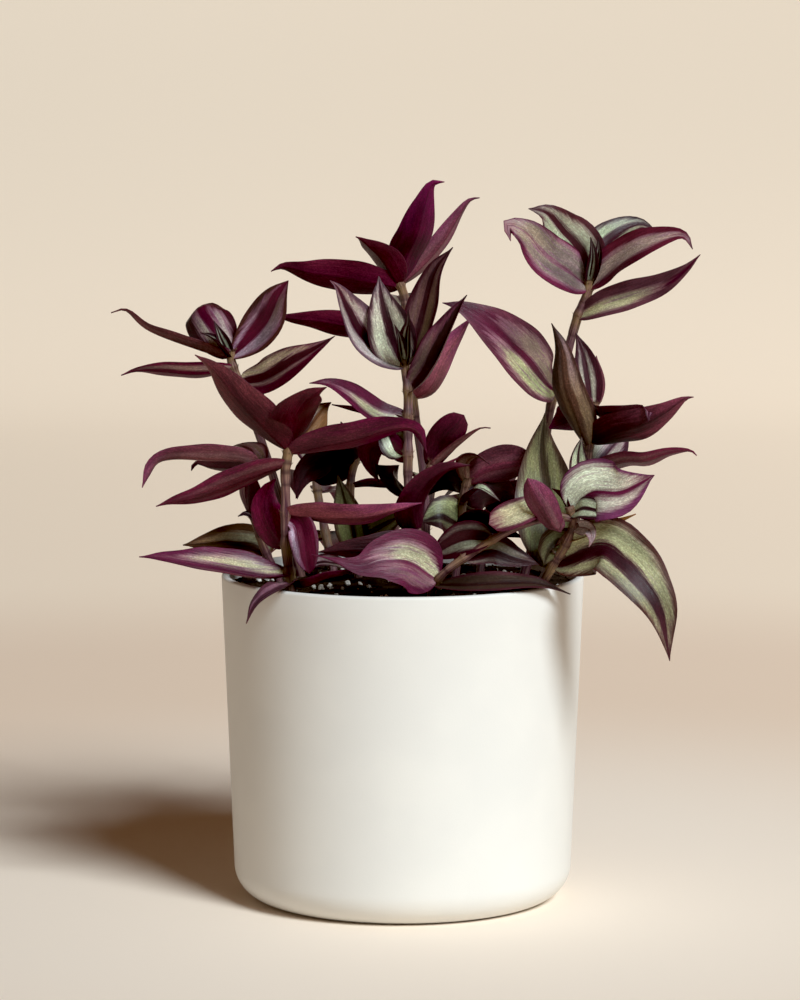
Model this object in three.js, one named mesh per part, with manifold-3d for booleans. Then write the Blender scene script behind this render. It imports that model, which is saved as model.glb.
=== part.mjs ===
// A tradescantia with striped leaves in a plain round pot.
// Millimetres, +Z up. The origin is the centre of the pot's flat base, and the pot's front faces -Y.
import * as THREE from "three";
import { mergeVertices } from "three/addons/utils/BufferGeometryUtils.js";
import Module from "manifold-3d";

const wasm = await Module();
wasm.setup();

// Pot
const potHeight = 126.3;
const potRimRadius = 70;
const potFootRadius = 65.5;
const potWall = 2.8;
const potFloor = 4.2;
const potBottomFillet = 13;
const potInnerFillet = 9;
const potRimRound = 1;
const potSides = 44;
const potOuterFilletSteps = 4;
const potInnerFilletSteps = 2;

// Soil
const soilEdgeHeight = 121.5;
const soilMound = 3.5;
const soilMoundSpread = 42;
const soilWallGap = 0.6;
const soilRings = 5;
const soilSides = 32;

// Stems
const stemSides = 6;
const stemRootDepth = 12;
const stemHoleGap = 0.3;
const stemHoleReach = 20;
const stemNodeSwelling = 1.28;
const stemNodeRise = 1.8;
const stemTopTaper = 0.12;
const stemRingSpacing = 17;

// Leaves
const leafThickness = 0.7;
const leafRootHalfWidth = 1;
const leafTipHalfWidth = 0.35;
const leafRootSunk = 2.5;
const leafBladeShare = 0.97;
const leafSwell = 0.55;
const leafDraw = 1.8;
const leafTaper = 1.35;
const leafFoldAtTip = 0.75;
const leafFoldAtRoot = 1.25;
const leafStepLength = 13;
const leafFewestSteps = 4;
const leafMostSteps = 6;
const leafStepSpread = 1.3;
const edgeTolerance = 0.02;
const mergeDistance = 1e-4;

const colours = {
  pot: new THREE.MeshStandardMaterial({ color: 0xeee9dd, roughness: 0.55, metalness: 0 }),
  soil: new THREE.MeshStandardMaterial({ color: 0x2a1f19, roughness: 0.95, metalness: 0 }),
  foliage: new THREE.MeshStandardMaterial({ color: 0x6b2a4a, roughness: 0.42, metalness: 0 }),
};

// Plain geometry becomes a solid once its shared corners are merged.
function solidFromGeometry(geometry) {
  const bare = geometry.clone();
  bare.deleteAttribute("normal");
  bare.deleteAttribute("uv");
  const merged = mergeVertices(bare, mergeDistance);
  return new wasm.Manifold(new wasm.Mesh({
    numProp: 3,
    vertProperties: new Float32Array(merged.attributes.position.array),
    triVerts: new Uint32Array(merged.index.array),
  }));
}

function solidFromFaces(corners, faces) {
  return new wasm.Manifold(new wasm.Mesh({
    numProp: 3,
    vertProperties: new Float32Array(corners.flatMap((corner) => corner.toArray())),
    triVerts: new Uint32Array(faces.flat()),
  }));
}

function meshFromSolid(name, solid, material) {
  const result = solid.getMesh();
  const geometry = new THREE.BufferGeometry();
  geometry.setAttribute("position", new THREE.BufferAttribute(result.vertProperties, 3));
  geometry.setIndex(new THREE.BufferAttribute(result.triVerts, 1));
  geometry.computeVertexNormals();
  const mesh = new THREE.Mesh(geometry, material);
  mesh.name = name;
  return mesh;
}

// A quarter round of the profile, from one angle to another about a centre.
function arc(centreRadius, centreHeight, radius, fromAngle, toAngle, steps) {
  return Array.from({ length: steps + 1 }, (_, step) => {
    const angle = fromAngle + (toAngle - fromAngle) * step / steps;
    return new THREE.Vector2(
      centreRadius + radius * Math.cos(angle),
      centreHeight + radius * Math.sin(angle),
    );
  });
}

function innerRadiusAt(height) {
  const footInner = potFootRadius - potWall;
  const rimInner = potRimRadius - potWall;
  return footInner + (rimInner - footInner) * height / potHeight;
}

// The profiles turn about Y, and Y becomes the upright axis afterwards.
function turned(profile, sides) {
  return new THREE.LatheGeometry(profile, sides).rotateX(Math.PI / 2);
}

function potSolid() {
  const quarter = Math.PI / 2;
  const rimOuter = potRimRadius - potRimRound;
  const rimInner = potRimRadius - potWall + potRimRound;
  const innerFloorRadius = innerRadiusAt(potFloor) - potInnerFillet;
  const profile = [
    new THREE.Vector2(0, 0),
    ...arc(potFootRadius - potBottomFillet, potBottomFillet, potBottomFillet, -quarter, 0,
      potOuterFilletSteps),
    ...arc(rimOuter, potHeight - potRimRound, potRimRound, 0, quarter, 1),
    ...arc(rimInner, potHeight - potRimRound, potRimRound, quarter, 2 * quarter, 1),
    ...arc(innerFloorRadius, potFloor + potInnerFillet, potInnerFillet, 0, -quarter,
      potInnerFilletSteps),
    new THREE.Vector2(0, potFloor),
  ];
  return solidFromGeometry(turned(profile, potSides));
}

function soilHeightAt(radius) {
  return soilEdgeHeight + soilMound * Math.exp(-((radius / soilMoundSpread) ** 2));
}

// The potting soil fills the pot from its floor to a low mound just under the rim.
function soilSolid(holes) {
  const quarter = Math.PI / 2;
  const edge = innerRadiusAt(soilEdgeHeight) - soilWallGap;
  const floorRadius = innerRadiusAt(potFloor) - potInnerFillet - soilWallGap;
  const top = Array.from({ length: soilRings + 1 }, (_, ring) => {
    const radius = edge * (1 - ring / soilRings);
    return new THREE.Vector2(radius, soilHeightAt(radius));
  });
  const profile = [
    new THREE.Vector2(0, potFloor),
    new THREE.Vector2(floorRadius, potFloor),
    ...arc(floorRadius, potFloor + potInnerFillet, potInnerFillet, -quarter, 0,
      potInnerFilletSteps).slice(1),
    ...top,
  ];
  return solidFromGeometry(turned(profile, soilSides)).subtract(wasm.Manifold.union(holes));
}

function curveThrough(points) {
  return new THREE.CatmullRomCurve3(points, false, "catmullrom", 0.5);
}

// A round stem along a curve, with rings at the given shares of its length.
function tube(curve, shares, radii, firstDrop = 0) {
  const corners = [];
  const faces = [];
  shares.forEach((share, ring) => {
    const centre = curve.getPointAt(share);
    const along = curve.getTangentAt(share);
    const across = new THREE.Vector3().crossVectors(along, new THREE.Vector3(0, 1, 0)).normalize();
    const outward = new THREE.Vector3().crossVectors(across, along);
    for (let side = 0; side < stemSides; side += 1) {
      const angle = 2 * Math.PI * side / stemSides;
      const corner = centre.clone()
        .addScaledVector(across, radii[ring] * Math.cos(angle))
        .addScaledVector(outward, radii[ring] * Math.sin(angle));
      if (ring === 0) corner.z -= firstDrop;
      corners.push(corner);
    }
  });
  const last = (shares.length - 1) * stemSides;
  for (let ring = 0; ring < shares.length - 1; ring += 1) {
    for (let side = 0; side < stemSides; side += 1) {
      const next = (side + 1) % stemSides;
      const low = ring * stemSides;
      const high = low + stemSides;
      faces.push([low + side, high + next, low + next], [low + side, high + side, high + next]);
    }
  }
  for (let side = 1; side < stemSides - 1; side += 1) {
    faces.push([0, side, side + 1], [last, last + side + 1, last + side]);
  }
  return solidFromFaces(corners, faces);
}

// The stem swells a little at each leaf's node, just above a plain ring, and rings fill the rest.
function stemRings(length, nodeShares) {
  const rise = stemNodeRise / length;
  const marks = [{ share: 0, swelling: 1 }];
  nodeShares.toSorted((a, b) => a - b).forEach((share) => {
    if (share - rise > marks.at(-1).share + rise && share < 1 - 3 * rise) {
      marks.push({ share: share - rise, swelling: 1 }, { share, swelling: stemNodeSwelling });
    }
  });
  marks.push({ share: 1, swelling: 1 });
  return marks.flatMap((mark, index) => {
    if (index === 0) return [mark];
    const before = marks[index - 1];
    const gap = mark.share - before.share;
    const steps = Math.ceil(gap * length / stemRingSpacing);
    const between = Array.from({ length: steps - 1 }, (_, step) => ({
      share: before.share + gap * (step + 1) / steps,
      swelling: 1,
    }));
    return [...between, mark];
  });
}

// Half the blade's width at a share of its length: broad near the base, drawn out to a point.
function leafHalfWidth(share, { width, swell = leafSwell, taper = leafTaper }) {
  const widest = (swell / (swell + taper * leafDraw)) ** (1 / leafDraw);
  const bulge = (at) => at ** swell * (1 - at ** leafDraw) ** taper;
  const spine = leafRootHalfWidth * (1 - share) + leafTipHalfWidth * share;
  return spine + leafBladeShare * width / 2 * bulge(share) / bulge(widest);
}

// One blade: a thin shell on both sides of its midrib curve, folded along the midrib.
function leafSolid(base, blade) {
  const { fold, face, midrib } = blade;
  const curve = curveThrough([base, ...midrib.map((point) => new THREE.Vector3(...point))]);
  const wanted = Math.round(curve.getLength() / leafStepLength);
  const steps = THREE.MathUtils.clamp(wanted, leafFewestSteps, leafMostSteps);
  const towards = new THREE.Vector3(...face);
  const upper = [];
  const under = [];
  for (let step = 0; step <= steps; step += 1) {
    const share = (step / steps) ** leafStepSpread;
    const centre = curve.getPointAt(share);
    const along = curve.getTangentAt(share);
    const normal = towards.clone().addScaledVector(along, -towards.dot(along)).normalize();
    const across = new THREE.Vector3().crossVectors(along, normal);
    const half = leafHalfWidth(share, blade);
    const opening = THREE.MathUtils.lerp(leafFoldAtTip, leafFoldAtRoot, (1 - share) ** 2);
    const angle = THREE.MathUtils.degToRad(fold) * opening;
    [-1, 0, 1].forEach((side) => {
      const rise = (Math.abs(side) - 0.5) * half * Math.sin(angle);
      const tilt = side === 0 ? 0 : angle;
      const place = centre.clone()
        .addScaledVector(across, side * half * Math.cos(angle))
        .addScaledVector(normal, rise);
      const out = normal.clone().multiplyScalar(Math.cos(tilt))
        .addScaledVector(across, -side * Math.sin(tilt));
      upper.push(place.clone().addScaledVector(out, leafThickness / 2));
      under.push(place.clone().addScaledVector(out, -leafThickness / 2));
    });
  }
  const offset = upper.length;
  const faces = [];
  for (let step = 0; step < steps; step += 1) {
    for (let half = 0; half < 2; half += 1) {
      const a = step * 3 + half;
      const [b, c, d] = [a + 3, a + 4, a + 1];
      faces.push([a, c, b], [a, d, c]);
      faces.push([a + offset, b + offset, c + offset], [a + offset, c + offset, d + offset]);
    }
  }
  const rim = [];
  for (let step = 0; step <= steps; step += 1) rim.push(step * 3);
  rim.push(steps * 3 + 1);
  for (let step = steps; step >= 0; step -= 1) rim.push(step * 3 + 2);
  rim.push(1);
  rim.forEach((corner, index) => {
    const next = rim[(index + 1) % rim.length];
    faces.push([corner, next, next + offset], [corner, next + offset, corner + offset]);
  });
  return solidFromFaces([...upper, ...under], faces);
}

// Where leaves of one stem cross they can shut in a pocket of air, and these are filled.
function withoutPockets(solid) {
  return wasm.Manifold.union(solid.decompose().filter((body) => body.volume() > 0));
}

// A leaf grows from its stem at a share of the stem's length. Its face is the way its upper side
// looks, its fold the angle that each half rises from flat, and its midrib runs through the points.
function leaf(shape, ...midrib) {
  return { ...shape, midrib };
}

function stem(radius, path, leaves) {
  return { radius, path, leaves };
}

const soilHoles = [];

// A side shoot starts on its main stem, and every other stem goes down into a hole in the soil.
function leafyStem(name, stems) {
  const solids = stems.flatMap(({ radius, path, leaves }) => {
    const points = path.map((point) => new THREE.Vector3(...point));
    const rooted = points[0].z < potHeight;
    if (rooted) points.unshift(points[0].clone().setZ(points[0].z - stemRootDepth));
    const curve = curveThrough(points);
    const length = curve.getLength();
    const above = rooted ? stemRootDepth / length : 0;
    const onWhole = (share) => above + (1 - above) * share;
    const rings = stemRings(length, leaves.map(({ at }) => onWhole(at)));
    const radii = rings.map(({ share, swelling }) => radius * swelling * (1 - stemTopTaper * share));
    const shares = rings.map(({ share }) => share);
    if (rooted) {
      const clear = shares.findIndex((share) => share * length > stemHoleReach);
      const holeShares = shares.slice(0, clear + 1);
      const holeRadii = holeShares.map((_, ring) => radii[ring] + stemHoleGap);
      soilHoles.push(tube(curve, holeShares, holeRadii, stemHoleGap));
    }
    const blades = leaves.map((shape) => {
      const share = Math.min(onWhole(shape.at), 1 - leafRootSunk / length);
      return leafSolid(curve.getPointAt(share), shape);
    });
    return [tube(curve, shares, radii), ...blades];
  });
  const whole = wasm.Manifold.union(solids).simplify(edgeTolerance);
  return meshFromSolid(name, withoutPockets(whole), colours.foliage);
}

const plant = [
  leafyStem("leafy_stem_back_left", [
    stem(1.8, [
      [-39, 14, 120], [-44, 13, 139], [-50, 13, 161], [-56, 14, 179], [-62, 15, 195],
      [-66, 16, 205], [-67, 16, 211]
    ], [
      leaf({ at: 1, width: 9, fold: 30, face: [0.1, 0.35, 1] },
        [-79, 15, 213], [-98, 14, 220], [-107, 14, 227], [-113, 14, 226]),
      leaf({ at: 1, width: 21, fold: -32, face: [-0.15, -1, 0.6] },
        [-72, 18, 217], [-77, 25, 224], [-79, 34, 226], [-81, 44, 222]),
      leaf({ at: 1, width: 5, fold: 35, face: [0.3, -0.5, 1] },
        [-72, 10, 216], [-78, 5, 219]),
      leaf({ at: 1, width: 5, fold: 35, face: [0.4, -1, 0.3] },
        [-70, 12, 216], [-73, 11, 223]),
      leaf({ at: 1, width: 18, fold: 18, face: [-0.35, -1, 0.45], swell: 0.8, taper: 1.1 },
        [-60, 13, 215], [-53, 9, 223], [-48, 6, 233], [-44, 5, 239]),
      leaf({ at: 0.93, width: 15, fold: 12, face: [0, 0.55, 1] },
        [-79, 14, 203], [-94, 12, 204], [-103, 11, 204], [-109, 10, 202]),
      leaf({ at: 0.87, width: 16, fold: 14, face: [0.15, -1, 0.75], swell: 0.45, taper: 1.6 },
        [-54, 10, 201], [-42, 4, 208], [-32, 1, 214], [-26, 0, 218]),
      leaf({ at: 0.8, width: 15, fold: 15, face: [0, -0.4, 1] },
        [-63, 30, 194], [-60, 48, 189], [-58, 62, 183]),
    ]),
  ]),
  leafyStem("leafy_stem_left", [
    stem(1.6, [
      [-47, -4, 121], [-53, -8, 136], [-57, -12, 149], [-61, -14, 159], [-59, -16, 166],
      [-53, -18, 171]
    ], [
      leaf({ at: 1, width: 17, fold: 20, face: [0, 0.5, 1] },
        [-62, -19, 173], [-75, -21, 174], [-88, -22, 174], [-95, -23, 171], [-99, -24, 162]),
      leaf({ at: 1, width: 12, fold: 15, face: [0, -0.2, 1] },
        [-58, -10, 175], [-63, -2, 176], [-70, 5, 173]),
      leaf({ at: 0.93, width: 14, fold: 10, face: [0, 0.5, 1] },
        [-64, -13, 169], [-73, -11, 169], [-79, -10, 170], [-81, -10, 167]),
      leaf({ at: 0.55, width: 9, fold: 30, face: [0.5, 1, 0.1] },
        [-58, -15, 156], [-58, -17, 163], [-60, -17, 169]),
      leaf({ at: 0.4, width: 6, fold: 25, face: [0, -0.6, 1] },
        [-57, -14, 149], [-60, -15, 151], [-63, -15, 150]),
      leaf({ at: 0.25, width: 17, fold: 10, face: [0, -0.75, 1] },
        [-57, -2, 138], [-67, 0, 139], [-76, 0, 138], [-85, 0, 137]),
    ]),
  ]),
  leafyStem("leafy_stem_front_left", [
    stem(1.9, [
      [-42, -34, 124], [-43, -36, 133], [-44, -38, 142], [-44, -39, 152], [-44, -40, 162],
      [-44, -41, 171], [-43, -41, 177], [-42, -41, 183]
    ], [
      leaf({ at: 0.92, width: 18, fold: 22, face: [0.5, 1, 0.4] },
        [-51, -47, 188], [-61, -53, 199], [-70, -55, 210], [-77, -55, 215]),
      leaf({ at: 0.98, width: 20, fold: 18, face: [-0.4, 0.9, 0.4] },
        [-41, -47, 190], [-38, -56, 196], [-34, -64, 201], [-28, -68, 204]),
      leaf({ at: 0.96, width: 15, fold: 15, face: [-0.3, -1, 0.3] },
        [-37, -36, 185], [-33, -32, 190], [-30, -30, 193], [-27, -29, 195]),
      leaf({ at: 0.9, width: 16, fold: 20, face: [0, 0.8, 0.9] },
        [-31, -46, 181], [-18, -50, 184], [-4, -53, 188], [5, -52, 187], [9, -50, 178]),
      leaf({ at: 0.83, width: 15, fold: 12, face: [0.1, 0.75, 0.8] },
        [-55, -46, 170], [-66, -50, 166], [-77, -52, 162], [-86, -52, 160], [-92, -51, 158]),
      leaf({ at: 0.52, width: 15, fold: 14, face: [0, 0.75, 0.9] },
        [-31, -44, 154], [-16, -48, 154], [-3, -49, 157], [7, -48, 159]),
      leaf({ at: 0.3, width: 14, fold: 10, face: [0.3, 1, 0.2] },
        [-49, -34, 148], [-52, -31, 155], [-51, -30, 162], [-48, -29, 166]),
      leaf({ at: 0.5, width: 11, fold: 12, face: [-0.3, -1, 0.1], taper: 0.7 },
        [-39, -42, 151], [-37, -45, 145], [-36, -46, 138], [-35, -45, 132]),
      leaf({ at: 0.06, width: 10, fold: 25, face: [-0.3, -0.5, 1] },
        [-44, -50, 129], [-50, -60, 127], [-55, -65, 123], [-58, -66, 116]),
      leaf({ at: 0.05, width: 6, fold: 30, face: [0, 0.5, 1] },
        [-37, -38, 127], [-29, -38, 130], [-22, -36, 131], [-13, -33, 133]),
      leaf({ at: 0.12, width: 20, fold: 30, face: [0, -0.45, 1] },
        [-52, -41, 132], [-67, -44, 135], [-82, -45, 137], [-92, -44, 138], [-99, -43, 138]),
    ]),
  ]),
  leafyStem("leafy_stem_tall_centre", [
    stem(1.8, [
      [10, 14, 122], [9, 16, 141], [8, 18, 164], [4, 20, 192], [2, 21, 215], [1, 22, 230],
      [-2, 22, 239]
    ], [
      leaf({ at: 1, width: 15, fold: 20, face: [-0.3, 1, 0.2] },
        [1, 17, 248], [5, 10, 257], [8, 4, 268], [11, 1, 276], [16, 0, 277]),
      leaf({ at: 0.99, width: 15, fold: 25, face: [0.5, 0.9, 0.5] },
        [-7, 16, 247], [-12, 9, 252], [-16, 4, 255], [-18, 2, 256]),
      leaf({ at: 1, width: 10, fold: 20, face: [-0.6, 0.8, 0.5] },
        [7, 24, 244], [15, 26, 253], [22, 27, 264], [26, 27, 269], [30, 27, 270]),
      leaf({ at: 0.97, width: 16, fold: 10, face: [0, 0.8, 0.6] },
        [-13, 20, 238], [-24, 18, 240], [-37, 16, 242], [-46, 15, 244], [-51, 14, 242]),
      leaf({ at: 0.86, width: 13, fold: 10, face: [0, 0.8, 0.6] },
        [-11, 19, 220], [-22, 18, 221], [-34, 17, 223], [-45, 16, 224], [-51, 16, 226]),
      leaf({ at: 0.6, width: 12, fold: 20, face: [-0.6, 1, 0.3] },
        [10, 18, 197], [16, 19, 209], [23, 20, 219], [27, 20, 224]),
      leaf({ at: 0.9, width: 15, fold: 15, face: [0, -0.4, 1] },
        [0, 45, 229], [-2, 65, 230], [-3, 80, 225]),
      leaf({ at: 0.68, width: 13, fold: 15, face: [0, -0.4, 1] },
        [8, 40, 201], [12, 58, 203], [15, 72, 206]),
    ]),
  ]),
  leafyStem("leafy_stem_centre_front", [
    stem(1.8, [
      [7, -30, 123], [6, -31, 135], [5, -32, 147], [3, -32, 158], [2, -31, 166], [2, -30, 175],
      [2, -27, 189], [2, -25, 198], [1, -23, 207], [0, -23, 211]
    ], [
      leaf({ at: 0.98, width: 20, fold: 35, face: [0.6, -0.9, 0.2] },
        [-6, -28, 214], [-14, -36, 221], [-20, -42, 231], [-24, -46, 239], [-27, -48, 242]),
      leaf({ at: 1, width: 18, fold: 15, face: [0, -1, 0.25] },
        [-3, -30, 217], [-6, -36, 227], [-8, -38, 235], [-9, -36, 243]),
      leaf({ at: 1, width: 5, fold: 40, face: [0.3, -1, 0.2] },
        [-1, -36, 219], [-3, -40, 225]),
      leaf({ at: 1, width: 6, fold: 40, face: [-0.2, -1, 0.2] },
        [1, -36, 220], [2, -41, 226], [2, -43, 231]),
      leaf({ at: 1, width: 15, fold: 20, face: [-0.6, -0.8, 0.2] },
        [5, -24, 220], [8, -22, 231], [12, -20, 244], [19, -19, 253]),
      leaf({ at: 0.86, width: 16, fold: 42, face: [-0.8, -0.6, 0.2] },
        [8, -30, 207], [14, -34, 219], [20, -36, 230], [24, -36, 236]),
      leaf({ at: 0.75, width: 11, fold: 18, face: [0.2, -0.8, 0.7] },
        [-9, -30, 191], [-20, -34, 199], [-28, -37, 203], [-35, -38, 203]),
      leaf({ at: 0.76, width: 8, fold: 20, face: [0, 0.6, 1] },
        [-3, -18, 191], [-8, -14, 193], [-13, -12, 195]),
      leaf({ at: 0.74, width: 10, fold: 20, face: [0, 0.4, 1] },
        [-7, -20, 189], [-17, -17, 191], [-27, -16, 193]),
      leaf({ at: 0.6, width: 12, fold: 15, face: [0, -1, 0.3] },
        [-2, -25, 178], [-6, -23, 184], [-10, -22, 188]),
      leaf({ at: 0.58, width: 12, fold: 15, face: [0, 1, 0.4] },
        [-6, -20, 178], [-12, -16, 176], [-12, -14, 169], [-9, -14, 163]),
      leaf({ at: 0.42, width: 16, fold: 15, face: [0, 1, 0.5] },
        [-1, -20, 163], [-6, -16, 166], [-11, -14, 170]),
      leaf({ at: 0.25, width: 13, fold: 18, face: [-0.5, 0.8, 0.6] },
        [3, -40, 156], [8, -45, 166], [16, -47, 172], [25, -46, 173]),
      leaf({ at: 0.2, width: 12, fold: 15, face: [0, 1, 0.3] },
        [-1, -40, 142], [-12, -44, 141], [-22, -45, 141], [-32, -45, 140]),
    ]),
    stem(1.3, [
      [3, -31, 163], [7, -31, 166], [10, -32, 170], [11, -32, 173]
    ], [
      leaf({ at: 1, width: 12, fold: 15, face: [0.3, 0.9, 0.4], taper: 0.5 },
        [13, -33, 178], [17, -36, 184], [23, -38, 191]),
      leaf({ at: 1, width: 5, fold: 30, face: [0.2, 0.1, 1] },
        [16, -34, 176], [23, -36, 182], [29, -37, 186], [33, -37, 186]),
      leaf({ at: 0.8, width: 6, fold: 20, face: [0, 0.5, 1] },
        [16, -30, 171], [21, -28, 174]),
    ]),
  ]),
  leafyStem("leafy_stem_centre_right", [
    stem(1.6, [
      [20, -8, 123], [22, -10, 140], [23, -12, 156], [25, -14, 165]
    ], [
      leaf({ at: 1, width: 17, fold: 12, face: [-0.1, 0.9, 0.5], swell: 0.7, taper: 0.6 },
        [31, -14, 168], [40, -12, 170], [50, -11, 171]),
      leaf({ at: 1, width: 7, fold: 20, face: [0, 0.4, 1] },
        [24, -16, 171], [28, -20, 174], [33, -24, 171]),
      leaf({ at: 0.75, width: 5, fold: 30, face: [0, -0.5, 1] },
        [26, -18, 160], [30, -22, 162], [37, -26, 157]),
      leaf({ at: 0.92, width: 13, fold: 12, face: [0, 1, 0.3] },
        [19, -6, 163], [14, 0, 161], [10, 4, 156]),
      leaf({ at: 0.55, width: 17, fold: 14, face: [0, -1, 0.5] },
        [19, -15, 149], [14, -18, 151], [7, -18, 148]),
      leaf({ at: 0.45, width: 13, fold: 12, face: [0, 0.8, 0.6] },
        [29, -16, 148], [37, -22, 146], [46, -26, 143]),
      leaf({ at: 0.8, width: 17, fold: 12, face: [0, 1, 0.2] },
        [31, -8, 160], [38, -4, 159], [44, -2, 156]),
    ]),
  ]),
  leafyStem("leafy_stem_right_front", [
    stem(1.5, [
      [11, -42, 125], [16, -48, 133], [27, -50, 141], [36, -52, 147], [47, -53, 152],
      [57, -51, 154], [64, -49, 153]
    ], [
      leaf({ at: 0.1, width: 24, fold: 14, face: [0, -1, 0.4], taper: 3 },
        [3, -54, 138], [-7, -58, 139], [-16, -60, 137], [-25, -60, 139], [-34, -59, 141]),
      leaf({ at: 0.5, width: 14, fold: 12, face: [0, -1, 0.6] },
        [23, -46, 145], [14, -42, 140], [9, -40, 136]),
      leaf({ at: 0.3, width: 12, fold: 12, face: [0, -1, 0.6] },
        [33, -44, 141], [42, -43, 138], [52, -42, 135]),
      leaf({ at: 0.88, width: 11, fold: 15, face: [0, -1, 0.5], swell: 0.7, taper: 0.4 },
        [50, -55, 158], [42, -57, 156], [32, -57, 152]),
      leaf({ at: 0.05, width: 11, fold: 15, face: [0, -0.6, 1] },
        [23, -52, 129], [38, -54, 130], [51, -50, 129], [63, -44, 124]),
      leaf({ at: 0.93, width: 12, fold: 25, face: [0.3, 1, 0.3], swell: 1.2, taper: 0.8 },
        [57, -57, 151], [52, -61, 159], [46, -64, 170]),
    ]),
    stem(1.7, [
      [52, -34, 124], [56, -42, 134], [61, -47, 143], [64, -49, 152], [62, -50, 158]
    ], [
      leaf({ at: 0.95, width: 24, fold: 12, face: [0, -1, 0.3] },
        [70, -56, 164], [81, -61, 165], [93, -63, 171]),
      leaf({ at: 0.93, width: 9, fold: 12, face: [0, -1, 0.6] },
        [67, -56, 158], [73, -60, 157], [78, -62, 154]),
      leaf({ at: 0.65, width: 7, fold: 15, face: [0, -0.4, 1] },
        [74, -50, 150], [80, -50, 152], [87, -50, 155]),
      leaf({ at: 0.8, width: 5, fold: 15, face: [0, -1, 0.1] },
        [69, -56, 150], [70, -60, 147], [69, -61, 144]),
      leaf({ at: 0.35, width: 23, fold: 14, face: [0.2, -1, 0.35] },
        [73, -56, 144], [82, -62, 140], [90, -66, 131], [96, -67, 120], [99, -66, 102]),
      leaf({ at: 0.97, width: 7, fold: 20, face: [0, 0.6, 1] },
        [60, -46, 161], [56, -44, 164]),
      leaf({ at: 0.3, width: 25, fold: 14, face: [0, -1, 0.1] },
        [55, -31, 149], [54, -23, 162], [53, -20, 177], [54, -19, 190]),
      leaf({ at: 0.6, width: 12, fold: 12, face: [0, -1, 0.2] },
        [59, -44, 144], [55, -45, 140], [53, -44, 135]),
    ]),
  ]),
  leafyStem("leafy_stem_right", [
    stem(1.8, [
      [53, 0, 121], [61, -6, 136], [67, -12, 152], [70, -14, 168], [71, -15, 177], [72, -15, 189],
      [73, -15, 194]
    ], [
      leaf({ at: 0.78, width: 15, fold: 25, face: [0.5, 0.9, 0] },
        [67, -22, 188], [62, -28, 201], [60, -30, 215], [56, -30, 225]),
      leaf({ at: 1, width: 10, fold: 15, face: [-0.2, -1, 0.2] },
        [71, -14, 202], [69, -12, 212], [66, -11, 220]),
      leaf({ at: 1, width: 6, fold: 20, face: [-0.5, 1, 0] },
        [75, -10, 200], [74, -8, 211]),
      leaf({ at: 1, width: 16, fold: 20, face: [0.1, 0.5, 0.85] },
        [79, -24, 189], [86, -32, 191], [92, -37, 193], [92, -41, 189]),
      leaf({ at: 0.8, width: 15, fold: 15, face: [0, 0.9, 0.4] },
        [80, -26, 184], [89, -34, 187], [98, -38, 192], [105, -40, 197], [109, -40, 198]),
      leaf({ at: 0.62, width: 17, fold: 12, face: [-0.2, -1, 0.3] },
        [77, -8, 173], [83, -3, 179], [88, 0, 184]),
      leaf({ at: 0.64, width: 11, fold: 12, face: [0, 0.7, 0.9] },
        [83, -22, 172], [92, -27, 173], [100, -30, 176], [108, -31, 177], [111, -31, 175]),
      leaf({ at: 0.58, width: 8, fold: 15, face: [0.3, -1, 0.1] },
        [67, -18, 170], [67, -20, 176], [68, -21, 181]),
      leaf({ at: 0.86, width: 17, fold: 12, face: [0, 1, 0.5] },
        [66, -6, 186], [62, -1, 185], [56, 1, 182]),
    ]),
  ]),
  leafyStem("leafy_stem_right_tall", [
    stem(1.9, [
      [47, 16, 121], [51, 14, 137], [54, 12, 161], [56, 10, 181], [58, 9, 193], [62, 8, 204],
      [65, 8, 216], [68, 8, 226], [71, 8, 233], [72, 8, 239]
    ], [
      leaf({ at: 1, width: 19, fold: 12, face: [0.3, -1, 0.4] },
        [64, 0, 243], [55, -7, 249], [47, -11, 258], [40, -12, 261], [41, -13, 255]),
      leaf({ at: 1, width: 21, fold: 14, face: [0, -1, 0.45] },
        [67, 2, 251], [61, 0, 258], [55, -3, 265], [48, -5, 267]),
      leaf({ at: 1, width: 5, fold: 40, face: [0.2, -1, 0.2] },
        [73, 1, 248], [72, 0, 256]),
      leaf({ at: 1, width: 5, fold: 40, face: [-0.2, -1, 0.2] },
        [75, 2, 249], [75, 1, 256]),
      leaf({ at: 1, width: 15, fold: 14, face: [0, -1, 0.6] },
        [77, 14, 251], [84, 20, 257], [92, 24, 260], [99, 26, 257]),
      leaf({ at: 0.99, width: 15, fold: 20, face: [0.1, -0.8, 0.6] },
        [80, 0, 246], [90, -8, 253], [101, -12, 257], [107, -14, 257], [110, -15, 252]),
      leaf({ at: 0.88, width: 12, fold: 15, face: [0, -0.9, 0.5] },
        [76, 0, 230], [87, -6, 234], [98, -10, 238], [107, -13, 244], [113, -14, 250]),
      leaf({ at: 0.63, width: 22, fold: 10, face: [0.2, -1, 0.45] },
        [54, -2, 202], [45, -12, 213], [34, -18, 223], [23, -20, 230], [15, -20, 232]),
      leaf({ at: 0.97, width: 15, fold: 15, face: [0, -0.4, 1] },
        [65, 30, 245], [60, 48, 247], [57, 62, 243]),
      leaf({ at: 0.7, width: 13, fold: 15, face: [0, -0.4, 1] },
        [64, 28, 200], [67, 45, 203], [69, 60, 199]),
    ]),
  ]),
  leafyStem("leafy_stem_centre_left", [
    stem(1.6, [
      [-17, 2, 121], [-18, 2, 135], [-20, 4, 150], [-20, 6, 162], [-18, 8, 170]
    ], [
      leaf({ at: 0.25, width: 12, fold: 15, face: [0, -1, 0.1] },
        [-20, -4, 145], [-23, -6, 157], [-25, -6, 165]),
      leaf({ at: 1, width: 14, fold: 12, face: [0, 1, 0.4] },
        [-24, 4, 172], [-31, -2, 170], [-38, -6, 165], [-41, -8, 156]),
      leaf({ at: 1, width: 9, fold: 15, face: [0, 1, 0.2] },
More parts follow.
